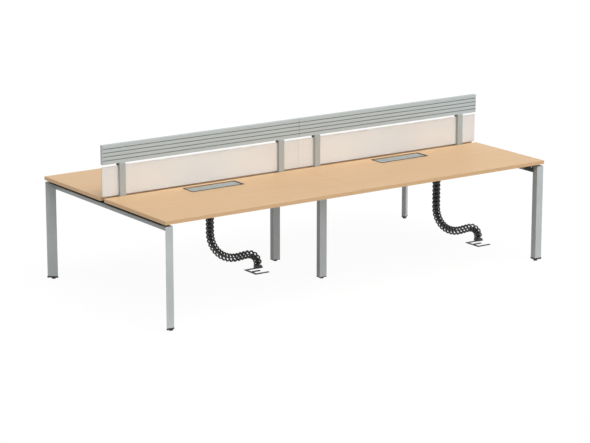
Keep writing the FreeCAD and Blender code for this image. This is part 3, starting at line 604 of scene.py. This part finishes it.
def grow(mesh, edges, reshape):
    """Extrudes a ring of edges and moves the new ring with a function of each point."""
    made = bmesh.ops.extrude_edge_only(mesh, edges=edges)["geom"]
    for vert in made:
        if isinstance(vert, bmesh.types.BMVert):
            vert.co = reshape(vert.co)
    return [item for item in made if isinstance(item, bmesh.types.BMEdge)]


def ring_step(radius, height):
    """Moves a ring to a radius and a height."""
    def reshape(point):
        flat = Vector((point.x, point.y, 0.0)).normalized() * radius
        return Vector((flat.x, flat.y, height))
    return reshape


def hexagon_step(flats, height):
    """Moves a ring on to a hexagon of a width over its flats."""
    def reshape(point):
        angle = math.atan2(point.y, point.x)
        sixth = math.pi / 3.0
        off_flat = (angle + sixth / 2.0) % sixth - sixth / 2.0
        reach = flats / 2.0 / math.cos(off_flat)
        return Vector((reach * math.cos(angle), reach * math.sin(angle), height))
    return reshape


def close_ring(mesh, edges):
    """Fills a ring of edges with one face."""
    bmesh.ops.edgeloop_fill(mesh, edges=edges)


def turned(mesh, profile, segments=RING):
    """A turned solid from (radius, height) pairs, closed at both ends."""
    first_radius, first_height = profile[0]
    first = ring(mesh, first_radius, segments)
    for vert in {vert for edge in first for vert in edge.verts}:
        vert.co.z = first_height
    edges = first
    for radius, height in profile[1:]:
        edges = grow(mesh, edges, ring_step(radius, height))
    close_ring(mesh, first)
    close_ring(mesh, edges)


def move_new(mesh, before, matrix):
    """Moves what was added since a count of points."""
    mesh.verts.ensure_lookup_table()
    bmesh.ops.transform(mesh, matrix=matrix, verts=mesh.verts[before:])


def socket_bolt(mesh, sizes, head, height, shank, reach, matrix):
    """A bolt along Z: a chamfered head with a hexagon socket above the origin, its shank below."""
    before = len(mesh.verts)
    chamfer = height * BOLT_CHAMFER
    base = ring(mesh, head / 2.0)
    edges = grow(mesh, base, ring_step(head / 2.0, height - chamfer))
    edges = grow(mesh, edges, ring_step(head / 2.0 - chamfer, height))
    edges = grow(mesh, edges, hexagon_step(sizes.socket, height))
    edges = grow(mesh, edges, hexagon_step(sizes.socket, height - sizes.socket_depth))
    close_ring(mesh, edges)
    edges = grow(mesh, base, ring_step(shank / 2.0, 0.0))
    edges = grow(mesh, edges, ring_step(shank / 2.0, -reach))
    close_ring(mesh, edges)
    move_new(mesh, before, matrix)


def pan_screw(mesh, sizes, matrix):
    """A domed screw head with a hexagon socket, above the origin along Z."""
    before = len(mesh.verts)
    radius = sizes.screw_head / 2.0
    height = sizes.screw_height
    base = ring(mesh, radius)
    edges = base
    for across, up in PAN_PROFILE:
        edges = grow(mesh, edges, ring_step(radius * across, height * up))
    for up in (1.0, PAN_FLOOR):
        edges = grow(mesh, edges, hexagon_step(radius * PAN_SOCKET, height * up))
    close_ring(mesh, edges)
    close_ring(mesh, base)
    move_new(mesh, before, matrix)


def add_block(mesh, size, middle, edge):
    """A block with rounded edges."""
    matrix = Matrix.Translation(middle) @ Matrix.Diagonal((*size, 1.0))
    verts = bmesh.ops.create_cube(mesh, size=1.0, matrix=matrix)["verts"]
    bevel(mesh, edges_of(verts), edge, 1)


def add_hoop(mesh, outer, inner, half):
    """A round hoop about Z with chamfered edges."""
    chamfer = half * HOOP_CHAMFER
    flat = half - chamfer
    section = [
        (outer, -flat), (outer, flat), (outer - chamfer, half), (inner + chamfer, half),
        (inner, flat), (inner, -flat), (inner + chamfer, -half), (outer - chamfer, -half)]
    verts = [mesh.verts.new((radius, 0.0, height)) for radius, height in section]
    edges = [mesh.edges.new((verts[index - 1], verts[index])) for index in range(len(verts))]
    bmesh.ops.spin(
        mesh, geom=verts + edges, axis=(0.0, 0.0, 1.0), cent=(0.0, 0.0, 0.0), angle=2.0 * math.pi,
        steps=RING, use_merge=True, use_duplicate=False)


def link_pattern(sizes, half_width):
    """One link of a riser about the origin: a leaning hoop with lugs, a web across it, tongue and fork."""
    mesh = bmesh.new()
    edge = sizes.plastic_edge
    outer = half_width + sizes.hoop_reach
    bore = outer * HOOP_BORE
    add_hoop(mesh, outer, bore, sizes.hoop_height / 2.0)
    for side in (-1.0, 1.0):
        place = Vector((side * (outer - LUG_INSET), 0.0, 0.0))
        add_block(mesh, (LUG_DEPTH, LUG_WIDTH, sizes.lug_height), place, edge)
    move_new(mesh, 0, Matrix.Rotation(sizes.hoop_tilt, 4, "Y"))
    before = len(mesh.verts)
    add_block(mesh, (2.0 * bore + SPOKE_OVERLAP, *SPOKE), Vector(), edge)
    add_block(mesh, (WEB_SPAN * bore, WEB_THICKNESS, sizes.web_height), Vector(), edge)
    move_new(mesh, before, Matrix.Rotation(sizes.web_turn, 4, "Z"))
    add_block(mesh, HUB, Vector(), edge)
    add_block(mesh, TONGUE, Vector((0.0, 0.0, KNUCKLE_LEVEL)), edge)
    for cheek in (-1.0, 1.0):
        add_block(mesh, CHEEK, Vector((0.0, cheek * CHEEK_OFFSET, -KNUCKLE_LEVEL)), edge)
    pattern = bpy.data.meshes.new("link_pattern")
    mesh.to_mesh(pattern)
    mesh.free()
    return pattern


def link_place(points):
    """Where a packed link sits, and how far it reaches to each side."""
    low, high = limits(points)
    across = (low.y + high.y) / 2.0
    half_width = (high.y - low.y) / 2.0
    rim = [point for point in points if abs(point.y - across) > half_width * RIM_FROM]
    tongue = [point for point in points if abs(point.y - across) < half_width * TONGUE_TO]
    middle = sum(rim, Vector()) / len(rim)
    up = (sum(tongue, Vector()) / len(tongue) - middle).normalized()
    side = Vector((0.0, 1.0, 0.0))
    turn = Matrix((side.cross(up), side, up)).transposed().to_4x4()
    return Matrix.Translation(middle) @ turn, half_width


def add_tuft(mesh, place, lean, tall):
    """A tuft of bristles that narrows to its tip."""
    direction = Vector((lean, 0.0, 1.0)).normalized()
    matrix = aim(place + direction * tall / 2.0, direction)
    bmesh.ops.create_cone(
        mesh, cap_ends=True, segments=TUFT_SIDES, radius1=TUFT_FOOT, radius2=TUFT_TIP, depth=tall,
        matrix=matrix)


def aim(place, direction):
    """A matrix that stands a piece made along Z at a place, along a direction."""
    return Matrix.Translation(place) @ Vector(direction).to_track_quat("Z", "Y").to_matrix().to_4x4()


# Operators, one for each group of like pieces

class DeskOperator:
    """What all the operators share"""
    bl_options = {"REGISTER", "UNDO"}


class DESK_OT_worktops(DeskOperator, Operator):
    """Finishes the four worktops and their edge bands"""
    bl_idname = "desk.worktops"
    bl_label = "Worktops"

    def execute(self, context):
        sizes = context.scene.desk_sizes
        dress(context, [f"top_{corner}" for corner in CORNERS], sizes.board_edge)
        mesh = bmesh.new()
        for corner in CORNERS:
            self.add_bands(mesh, *box_of(f"top_{corner}"), sizes)
        slot = SLOTS["edge_bands"]
        # The end faces of the strips take the lighter copy of the wood: painted light
        add_piece(context, mesh, "edge_strips", DESK, slot, ["edge_bands"], "wood_edge", "wood_end_painted_light")
        return {"FINISHED"}

    def add_bands(self, mesh, low, high, sizes):
        """The strips round one worktop; what faces its ends takes the second finish, a lighter copy of the
        wood that is painted light.
        """
        middle = (low + high) / 2.0
        long, deep, thick = high - low
        band = sizes.band
        for side in (-1.0, 1.0):
            across = Vector((0.0, side * (deep + band) / 2.0, 0.0))
            add_block(mesh, (long + 2.0 * band, band, thick), middle + across, sizes.board_edge)
        for side in (-1.0, 1.0):
            along = Vector((side * (long + band) / 2.0, 0.0, 0.0))
            add_block(mesh, (band, deep, thick), middle + along, sizes.board_edge)
        # Faces turned to the ends take the lighter copy of the wood: painted light
        for face in mesh.faces:
            face.normal_update()
            face.material_index = int(abs(face.normal.x) > LIGHTENED_END_FACING)


class DESK_OT_frame(DeskOperator, Operator):
    """Finishes the legs, bars, beams and caps"""
    bl_idname = "desk.frame"
    bl_label = "Frame"

    def execute(self, context):
        sizes = context.scene.desk_sizes
        names = [f"beam_{corner}" for corner in CORNERS]
        names += ["middle_leg_front", "middle_leg_rear", "middle_bar", "beam_plates"]
        dress(context, names, sizes.metal_edge)
        # The end bars take the darker copy of the frame paint: painted shade
        dress(context, [f"end_bar_{side}" for side in SIDES], sizes.metal_edge, "bar_paint_painted_shade")
        self.add_gap_shade_strips(context, sizes)
        joint = box_of("leg_front_left")[0].z

        def raised(point):
            """Raises the joint between the end frames' legs and their caps."""
            at_joint = abs(point.z - joint) < MM / 2.0 and abs(point.x) > CAD_BOX[1][0] / 2.0
            return point + Vector((0.0, 0.0, sizes.cap_collar if at_joint else 0.0))
        dress(context, [f"leg_{corner}" for corner in CORNERS], sizes.metal_edge, reshape=raised)
        dress(context, ["leg_caps"], sizes.plastic_edge, reshape=raised)
        return {"FINISHED"}

    def add_gap_shade_strips(self, context, sizes):
        """Dark strips along the tops of the end bars, under the worktops: painted shade in the gap below the
        worktops.
        """
        mesh = bmesh.new()
        thick = sizes.gap_shade_thickness
        for side in SIDES:
            low, high = box_of(f"end_bar_{side}")
            wide = high.x - low.x - TRIM_MARGIN
            long = high.y - low.y - 2.0 * sizes.gap_shade_inset
            middle = (low + high) / 2.0
            place = Vector((middle.x, middle.y, high.z + thick / 2.0))
            add_block(mesh, (wide, long, thick), place, thick / 4.0)
        # The strips are painted shade in the gap under the worktops
        add_piece(context, mesh, "bar_gap_shade_strips", DESK, "dark_plastic")


class DESK_OT_feet(DeskOperator, Operator):
    """Makes the levelling feet: ribbed rims, sloped shoulders and stems"""
    bl_idname = "desk.feet"
    bl_label = "Feet"

    def execute(self, context):
        ribs = context.scene.desk_sizes.rib_count
        for foot in FEET:
            node = f"foot_{foot}"
            low, high = box_of(node)
            middle = (low + high) / 2.0
            rim = (high.x - low.x) / 2.0
            shoulder = FOOT_PROFILE[-1][1]
            profile = [(rim * across, height) for across, height in FOOT_PROFILE]
            profile += [(STEM_RADIUS, shoulder), (STEM_RADIUS, high.z - STEM_CHAMFER), (STEM_TIP, high.z)]
            mesh = bmesh.new()
            turned(mesh, profile, 2 * ribs)
            for vert in mesh.verts:
                around = math.atan2(vert.co.y, vert.co.x)
                if RIB_LOW < vert.co.z < RIB_HIGH and round(around * ribs / math.pi) % 2:
                    vert.co.x *= RIB_SHARE
                    vert.co.y *= RIB_SHARE
            bmesh.ops.translate(mesh, verts=mesh.verts[:], vec=Vector((middle.x, middle.y, 0.0)))
            add_piece(context, mesh, f"glide_{foot}", f"{node}_body", "dark_plastic", [node])
        return {"FINISHED"}


class DESK_OT_spacers(DeskOperator, Operator):
    """Makes the turned discs between the frame and the worktops"""
    bl_idname = "desk.spacers"
    bl_label = "Spacers"

    def execute(self, context):
        mesh = bmesh.new()
        for points in solids_of("top_spacers"):
            low, high = limits(points)
            radius = (high.x - low.x) / 2.0
            tall = high.z - low.z
            before = len(mesh.verts)
            turned(mesh, [(radius * across, tall * up) for across, up in SPACER_PROFILE])
            middle = (low + high) / 2.0
            move_new(mesh, before, Matrix.Translation((middle.x, middle.y, low.z)))
        add_piece(context, mesh, "spacer_discs", DESK, SLOTS["top_spacers"], ["top_spacers"])
        return {"FINISHED"}


class DESK_OT_bolts(DeskOperator, Operator):
    """Makes the socket bolts of the beams and the frames' corner screws"""
    bl_idname = "desk.bolts"
    bl_label = "Bolts"

    def execute(self, context):
        sizes = context.scene.desk_sizes
        for node, piece in (("beam_bolts", "socket_bolts"), ("corner_screws", "socket_screws")):
            mesh = bmesh.new()
            for points in solids_of(node):
                low, high = limits(points)
                middle = (low + high) / 2.0
                wide = (high.z - low.z) / 2.0
                offsets = [abs(point.z - middle.z) for point in points]
                heads = [point.x for point, offset in zip(points, offsets) if offset > wide * HEAD_FROM]
                shank = 2.0 * max(offset for offset in offsets if offset < wide * SHANK_TO)
                head_right = low.x < min(heads) - MM
                seat = min(heads) if head_right else max(heads)
                place = Vector((seat, middle.y, middle.z))
                along = (1.0, 0.0, 0.0) if head_right else (-1.0, 0.0, 0.0)
                height = max(heads) - min(heads)
                reach = high.x - low.x - height
                socket_bolt(mesh, sizes, wide * 2.0, height, shank, reach, aim(place, along))
            add_piece(context, mesh, piece, DESK, SLOTS[node], [node])
        self.add_corner_shade_plates(context, sizes)
        return {"FINISHED"}

    def add_corner_shade_plates(self, context, sizes):
        """Dark plates inside the corners of the end frames, under the corner screws' heads: painted shade
        under the worktops.
        """
        mesh = bmesh.new()
        for points in solids_of("corner_screws"):
            low, high = limits(points)
            middle = (low + high) / 2.0
            outward = math.copysign(1.0, middle.x)
            row = math.copysign(1.0, middle.y)
            bar_low, bar_high = box_of("end_bar_left" if outward < 0.0 else "end_bar_right")
            face = bar_high.x if outward < 0.0 else bar_low.x
            size = (sizes.shade_plate_thickness, sizes.shade_plate_length, bar_high.z - bar_low.z - TRIM_MARGIN)
            place = Vector((
                face - outward * sizes.shade_plate_thickness / 2.0,
                middle.y - row * (sizes.shade_plate_length / 2.0 - sizes.shade_plate_overhang),
                (bar_low.z + bar_high.z) / 2.0))
            add_block(mesh, size, place, sizes.shade_plate_thickness / 4.0)
        # The dark plates are painted shade
        add_piece(context, mesh, "corner_shade_plates", DESK, "dark_plastic")


class DESK_OT_screws(DeskOperator, Operator):
    """Makes the pan-head screws under the cable flaps and the screen posts"""
    bl_idname = "desk.screws"
    bl_label = "Screws"

    def execute(self, context):
        sizes = context.scene.desk_sizes
        plates = [limits(points) for points in solids_of("post_plates")]
        plates += [box_of(f"flap_frame_{corner}") for corner in CORNERS]
        mesh = bmesh.new()
        for low, high in plates:
            inset = sizes.screw_head
            for x in (low.x + inset, high.x - inset):
                for y in (low.y + inset, high.y - inset):
                    pan_screw(mesh, sizes, aim(Vector((x, y, low.z)), (0.0, 0.0, -1.0)))
        add_piece(context, mesh, "underside_screws", DESK, "bolt_steel")
        return {"FINISHED"}


class DESK_OT_flaps(DeskOperator, Operator):
    """Finishes the cable flaps: frames, lids and pins"""
    bl_idname = "desk.flaps"
    bl_label = "Cable flaps"

    def execute(self, context):
        edge = context.scene.desk_sizes.metal_edge
        for piece in ("frame", "lid"):
            dress(context, [f"flap_{piece}_{corner}" for corner in CORNERS], edge)
        dress(context, ["flap_pins"], edge)
        return {"FINISHED"}


class DESK_OT_brushes(DeskOperator, Operator):
    """Makes the rims of the cable slots and the bristle strips in front of the lids"""
    bl_idname = "desk.brushes"
    bl_label = "Rims and brushes"

    def execute(self, context):
        sizes = context.scene.desk_sizes
        for corner in CORNERS:
            self.add_brush(context, corner, sizes)
            self.add_rim(context, corner, sizes)
        return {"FINISHED"}

    def add_brush(self, context, corner, sizes):
        """A strip along the front of a lid, with two rows of uneven tufts."""
        low, high = box_of(f"flap_lid_{corner}")
        outward = math.copysign(1.0, low.y)
        front = low.y if outward < 0.0 else high.y
        strip = front + outward * BRUSH_OFFSET
        long = high.x - low.x
        mesh = bmesh.new()
        middle = Vector(((low.x + high.x) / 2.0, strip, high.z - BRUSH_DROP))
        add_block(mesh, (long, *BRUSH_SECTION), middle, BRUSH_EDGE)
        count = int(long / sizes.tuft_pitch)
        for index in range(count):
            x = low.x + (index + 0.5) * long / count
            for row in (0.0, 1.0):
                lean = TUFT_LEAN * math.sin(LEAN_STEP * index + ROW_STEP * row)
                tall = sizes.tuft_height * (1.0 - TUFT_RAGGED * math.cos(RAGGED_STEP * index + row))
                place = Vector((x, strip - outward * (row - 0.5) * TUFT_ROWS, high.z - TUFT_DROP))
                add_tuft(mesh, place, lean, tall)
        add_piece(context, mesh, f"slot_brush_{corner}", DESK, "dark_plastic")

    def add_rim(self, context, corner, sizes):
        """A raised rim on the worktop round the cut-out that a flap's frame hangs under."""
        low, high = box_of(f"flap_frame_{corner}")
        top = box_of(f"top_{corner}")[1].z
        margin = sizes.flange - sizes.rim_width
        low += Vector((margin, margin, 0.0))
        high -= Vector((margin, margin, 0.0))
        middle = (low + high) / 2.0
        wide = sizes.rim_width
        level = top + sizes.rim_height / 2.0
        mesh = bmesh.new()
        for y in (low.y + wide / 2.0, high.y - wide / 2.0):
            size = (high.x - low.x, wide, sizes.rim_height)
            add_block(mesh, size, Vector((middle.x, y, level)), sizes.plastic_edge)
        for x in (low.x + wide / 2.0, high.x - wide / 2.0):
            size = (wide, high.y - low.y - 2.0 * wide, sizes.rim_height)
            add_block(mesh, size, Vector((x, middle.y, level)), sizes.plastic_edge)
        add_piece(context, mesh, f"slot_rim_{corner}", DESK, "dark_plastic")


class DESK_OT_screen(DeskOperator, Operator):
    """Finishes the screen: rails, glass, posts and their fittings"""
    bl_idname = "desk.screen"
    bl_label = "Screen"

    def execute(self, context):
        sizes = context.scene.desk_sizes
        for side in SIDES:
            self.add_rail(context, f"screen_rail_{side}", sizes)
        dress(context, [f"screen_panel_{side}" for side in SIDES], sizes.metal_edge)
        posts = [f"screen_post_{end}_{side}" for end in ("end", "middle") for side in SIDES]
        dress(context, posts, sizes.metal_edge, "post")
        dress(context, ["rail_joiner", "post_plates"], sizes.metal_edge)
        dress(context, ["rail_end_caps"], sizes.plastic_edge)
        self.add_clips(context, sizes)
        self.add_gasket(context, sizes)
        return {"FINISHED"}

    def add_clips(self, context, sizes):
        """The clips between the panels and the rail, cut back at their faces."""
        mesh = bmesh.new()
        trim = sizes.clip_trim
        for points in solids_of("panel_clips"):
            low, high = limits(points)
            low += Vector((trim / 2.0, trim, trim))
            high -= Vector((trim / 2.0, trim, 0.0))
            add_block(mesh, high - low, (low + high) / 2.0, sizes.plastic_edge)
        add_piece(context, mesh, "rail_clips", DESK, SLOTS["panel_clips"], ["panel_clips"])

    def add_gasket(self, context, sizes):
        """A dark gasket in the joint of the two rails."""
        low, high = box_of("screen_rail_left")
        inset_y, inset_z = GASKET_INSET
        mesh = bmesh.new()
        size = (sizes.gasket, high.y - low.y - inset_y, high.z - low.z - inset_z)
        add_block(mesh, size, Vector((high.x, 0.0, (low.z + high.z) / 2.0)), sizes.gasket / 8.0)
        add_piece(context, mesh, "rail_gasket", DESK, "dark_plastic")

    def add_rail(self, context, node, sizes):
        """A rail whose grooves take the second finish, a darker colour that paints shade in them."""
        low, high = box_of(node)
        mesh = rounded(node, sizes.metal_edge)
        # Faces inside the grooves take the second finish: painted shade
        for face in mesh.faces:
            middle = face.calc_center_median()
            if abs(middle.y) < high.y - MM and low.z + MM < middle.z < high.z - MM:
                face.material_index = 1
        add_piece(context, mesh, f"{node}_finished", DESK, SLOTS[node], [node], None, "rail_groove_shade")


class DESK_OT_trays(DeskOperator, Operator):
    """Finishes the cable trays and their hangers"""
    bl_idname = "desk.trays"
    bl_label = "Cable trays"

    def execute(self, context):
        sizes = context.scene.desk_sizes
        for node in [f"cable_tray_{side}" for side in SIDES]:
            mesh = rounded(node, sizes.metal_edge, self.sloped_ends(node, sizes.tray_slope))
            add_piece(context, mesh, f"{node}_finished", DESK, SLOTS[node], [node])
        dress(context, ["tray_hangers"], sizes.metal_edge)
        return {"FINISHED"}

    def sloped_ends(self, node, slope):
        """Draws the foot of both ends of a tray in."""
        low, high = box_of(node)

        def reshape(point):
            at_foot = point.z < low.z + TRAY_FOOT
            if at_foot and point.x < low.x + MM:
                return point + Vector((slope, 0.0, 0.0))
            if at_foot and point.x > high.x - MM:
                return point - Vector((slope, 0.0, 0.0))
            return point
        return reshape


class DESK_OT_risers(DeskOperator, Operator):
    """Finishes the cable risers: links, collars, ends and floor plates"""
    bl_idname = "desk.risers"
    bl_label = "Cable risers"

    def execute(self, context):
        sizes = context.scene.desk_sizes
        dress(context, ["riser_collars", "riser_ends"], sizes.plastic_edge)
        for side in SIDES:
            node = f"riser_links_{side}"
            mesh = bmesh.new()
            for points in solids_of(node):
                place, half_width = link_place(points)
                link_copy = link_pattern(sizes, half_width)
                link_copy.transform(place)
                mesh.from_mesh(link_copy)
                bpy.data.meshes.remove(link_copy)
            add_piece(context, mesh, f"riser_hoops_{side}", DESK, SLOTS[node], [node])
        dress(context, [f"riser_plate_{side}" for side in SIDES], sizes.metal_edge)
        return {"FINISHED"}


class DESK_OT_stage(DeskOperator, Operator):
    """Sets the studio: a pale floor, soft light and the camera"""
    bl_idname = "desk.stage"
    bl_label = "Studio"

    def execute(self, context):
        stage = context.scene.desk_stage
        self.add_world(context, stage)
        self.add_floor(context, stage)
        self.add_light(context, "key", stage.key, stage.key_from, stage.spread)
        self.add_light(context, "fill", stage.fill, stage.fill_from, stage.spread)
        self.add_camera(context, stage)
        context.scene.view_settings.view_transform = "Standard"
        return {"FINISHED"}

    def seen_directly(self, tree):
        """1 for rays from the camera and through shiny or clear surfaces, otherwise 0."""
        path = tree.nodes.new("ShaderNodeLightPath")
        total = path.outputs["Is Camera Ray"]
        for ray in ("Is Glossy Ray", "Is Transmission Ray"):
            total = combine(tree, "MAXIMUM", total, path.outputs[ray])
        return total

    def add_world(self, context, stage):
        """Even light all round, white where it is seen."""
        world = bpy.data.worlds.new("Studio")
        context.scene.world = world
        world.use_nodes = True
        tree = world.node_tree
        level = remap(tree, self.seen_directly(tree), 0.0, 1.0, stage.ambient, 1.0)
        link(tree, level, tree.nodes["Background"].inputs["Strength"])
        tree.nodes["Background"].inputs["Color"].default_value = (1.0, 1.0, 1.0, 1.0)

    def add_floor(self, context, stage):
        """A pale floor that shows white, with a share of the desk's shadow."""
        mesh = bmesh.new()
        bmesh.ops.create_grid(mesh, x_segments=1, y_segments=1, size=FLOOR_REACH)
        bmesh.ops.translate(mesh, verts=mesh.verts[:], vec=Vector((0.0, 0.0, -FLOOR_DROP)))
        data = bpy.data.meshes.new("floor")
        mesh.to_mesh(data)
        mesh.free()
        floor = bpy.data.objects.new("floor", data)
        context.scene.collection.objects.link(floor)
        material = bpy.data.materials.new("floor")
        material.use_nodes = True
        tree = material.node_tree
        shader = tree.nodes["Principled BSDF"]
        shader.inputs["Base Color"].default_value = (*(stage.floor_grey,) * 3, 1.0)
        shader.inputs["Roughness"].default_value = 0.9
        shader.inputs["Specular IOR Level"].default_value = 0.0
        glow = tree.nodes.new("ShaderNodeEmission")
        share_seen = remap(tree, self.seen_directly(tree), 0.0, 1.0, 0.0, 1.0 - stage.shadow)
        mix = tree.nodes.new("ShaderNodeMixShader")
        link(tree, share_seen, mix.inputs["Fac"])
        link(tree, shader.outputs[0], mix.inputs[1])
        link(tree, glow.outputs[0], mix.inputs[2])
        link(tree, mix.outputs[0], tree.nodes["Material Output"].inputs["Surface"])
        lit = stage.shadow * stage.floor_grey * FLOOR_LIGHT
        glow.inputs["Strength"].default_value = (1.0 - lit) / (1.0 - stage.shadow)
        data.materials.append(material)

    def add_light(self, context, name, energy, source, spread):
        """A broad sun lamp that shines from a direction."""
        data = bpy.data.lights.new(name, "SUN")
        data.energy = energy
        data.angle = spread
        light = bpy.data.objects.new(name, data)
        context.scene.collection.objects.link(light)
        light.rotation_euler = Vector(source).to_track_quat("Z", "Y").to_euler()

    def add_camera(self, context, stage):
        """The camera at the photograph's angle."""
        data = bpy.data.cameras.new("camera")
        data.lens = stage.lens
        data.sensor_width = 36.0
        data.clip_end = 200.0
        camera = bpy.data.objects.new("camera", data)
        context.scene.collection.objects.link(camera)
        camera.location = stage.camera
        camera.rotation_euler = (math.pi / 2.0 - stage.pitch, 0.0, -stage.yaw)
        context.scene.camera = camera


class DESK_PT_panel(Panel):
    """The desk's settings and the pieces that they make"""
    bl_idname = "DESK_PT_panel"
    bl_label = "Bench Desk"
    bl_space_type = "VIEW_3D"
    bl_region_type = "UI"
    bl_category = "Desk"

    def draw(self, context):
        scene = context.scene
        for settings in (scene.desk_colours, scene.desk_sizes, scene.desk_stage):
            box = self.layout.box()
            for name in settings.__annotations__:
                box.prop(settings, name)
        for operator in OPERATORS:
            self.layout.operator(operator.bl_idname)


OPERATORS = (
    DESK_OT_worktops, DESK_OT_frame, DESK_OT_feet, DESK_OT_spacers, DESK_OT_bolts, DESK_OT_screws,
    DESK_OT_flaps, DESK_OT_brushes, DESK_OT_screen, DESK_OT_trays, DESK_OT_risers, DESK_OT_stage)
SETTINGS = {"desk_colours": DeskColours, "desk_sizes": DeskSizes, "desk_stage": DeskStage}


def register():
    """Makes the settings, operators and panel known."""
    for name, group in SETTINGS.items():
        bpy.utils.register_class(group)
        setattr(bpy.types.Scene, name, PointerProperty(type=group))
    for cls in (*OPERATORS, DESK_PT_panel):
        bpy.utils.register_class(cls)


def unregister():
    """Takes them away again."""
    for cls in reversed((*OPERATORS, DESK_PT_panel)):
        bpy.utils.unregister_class(cls)
    for name, group in SETTINGS.items():
        delattr(bpy.types.Scene, name)
        bpy.utils.unregister_class(group)


def main():
    """Makes the whole desk and its studio."""
    register()
    bpy.ops.desk.worktops()
    bpy.ops.desk.frame()
    bpy.ops.desk.feet()
    bpy.ops.desk.spacers()
    bpy.ops.desk.bolts()
    bpy.ops.desk.screws()
    bpy.ops.desk.flaps()
    bpy.ops.desk.brushes()
    bpy.ops.desk.screen()
    bpy.ops.desk.trays()
    bpy.ops.desk.risers()
    bpy.ops.desk.stage()


if __name__ == "__main__":
    main()
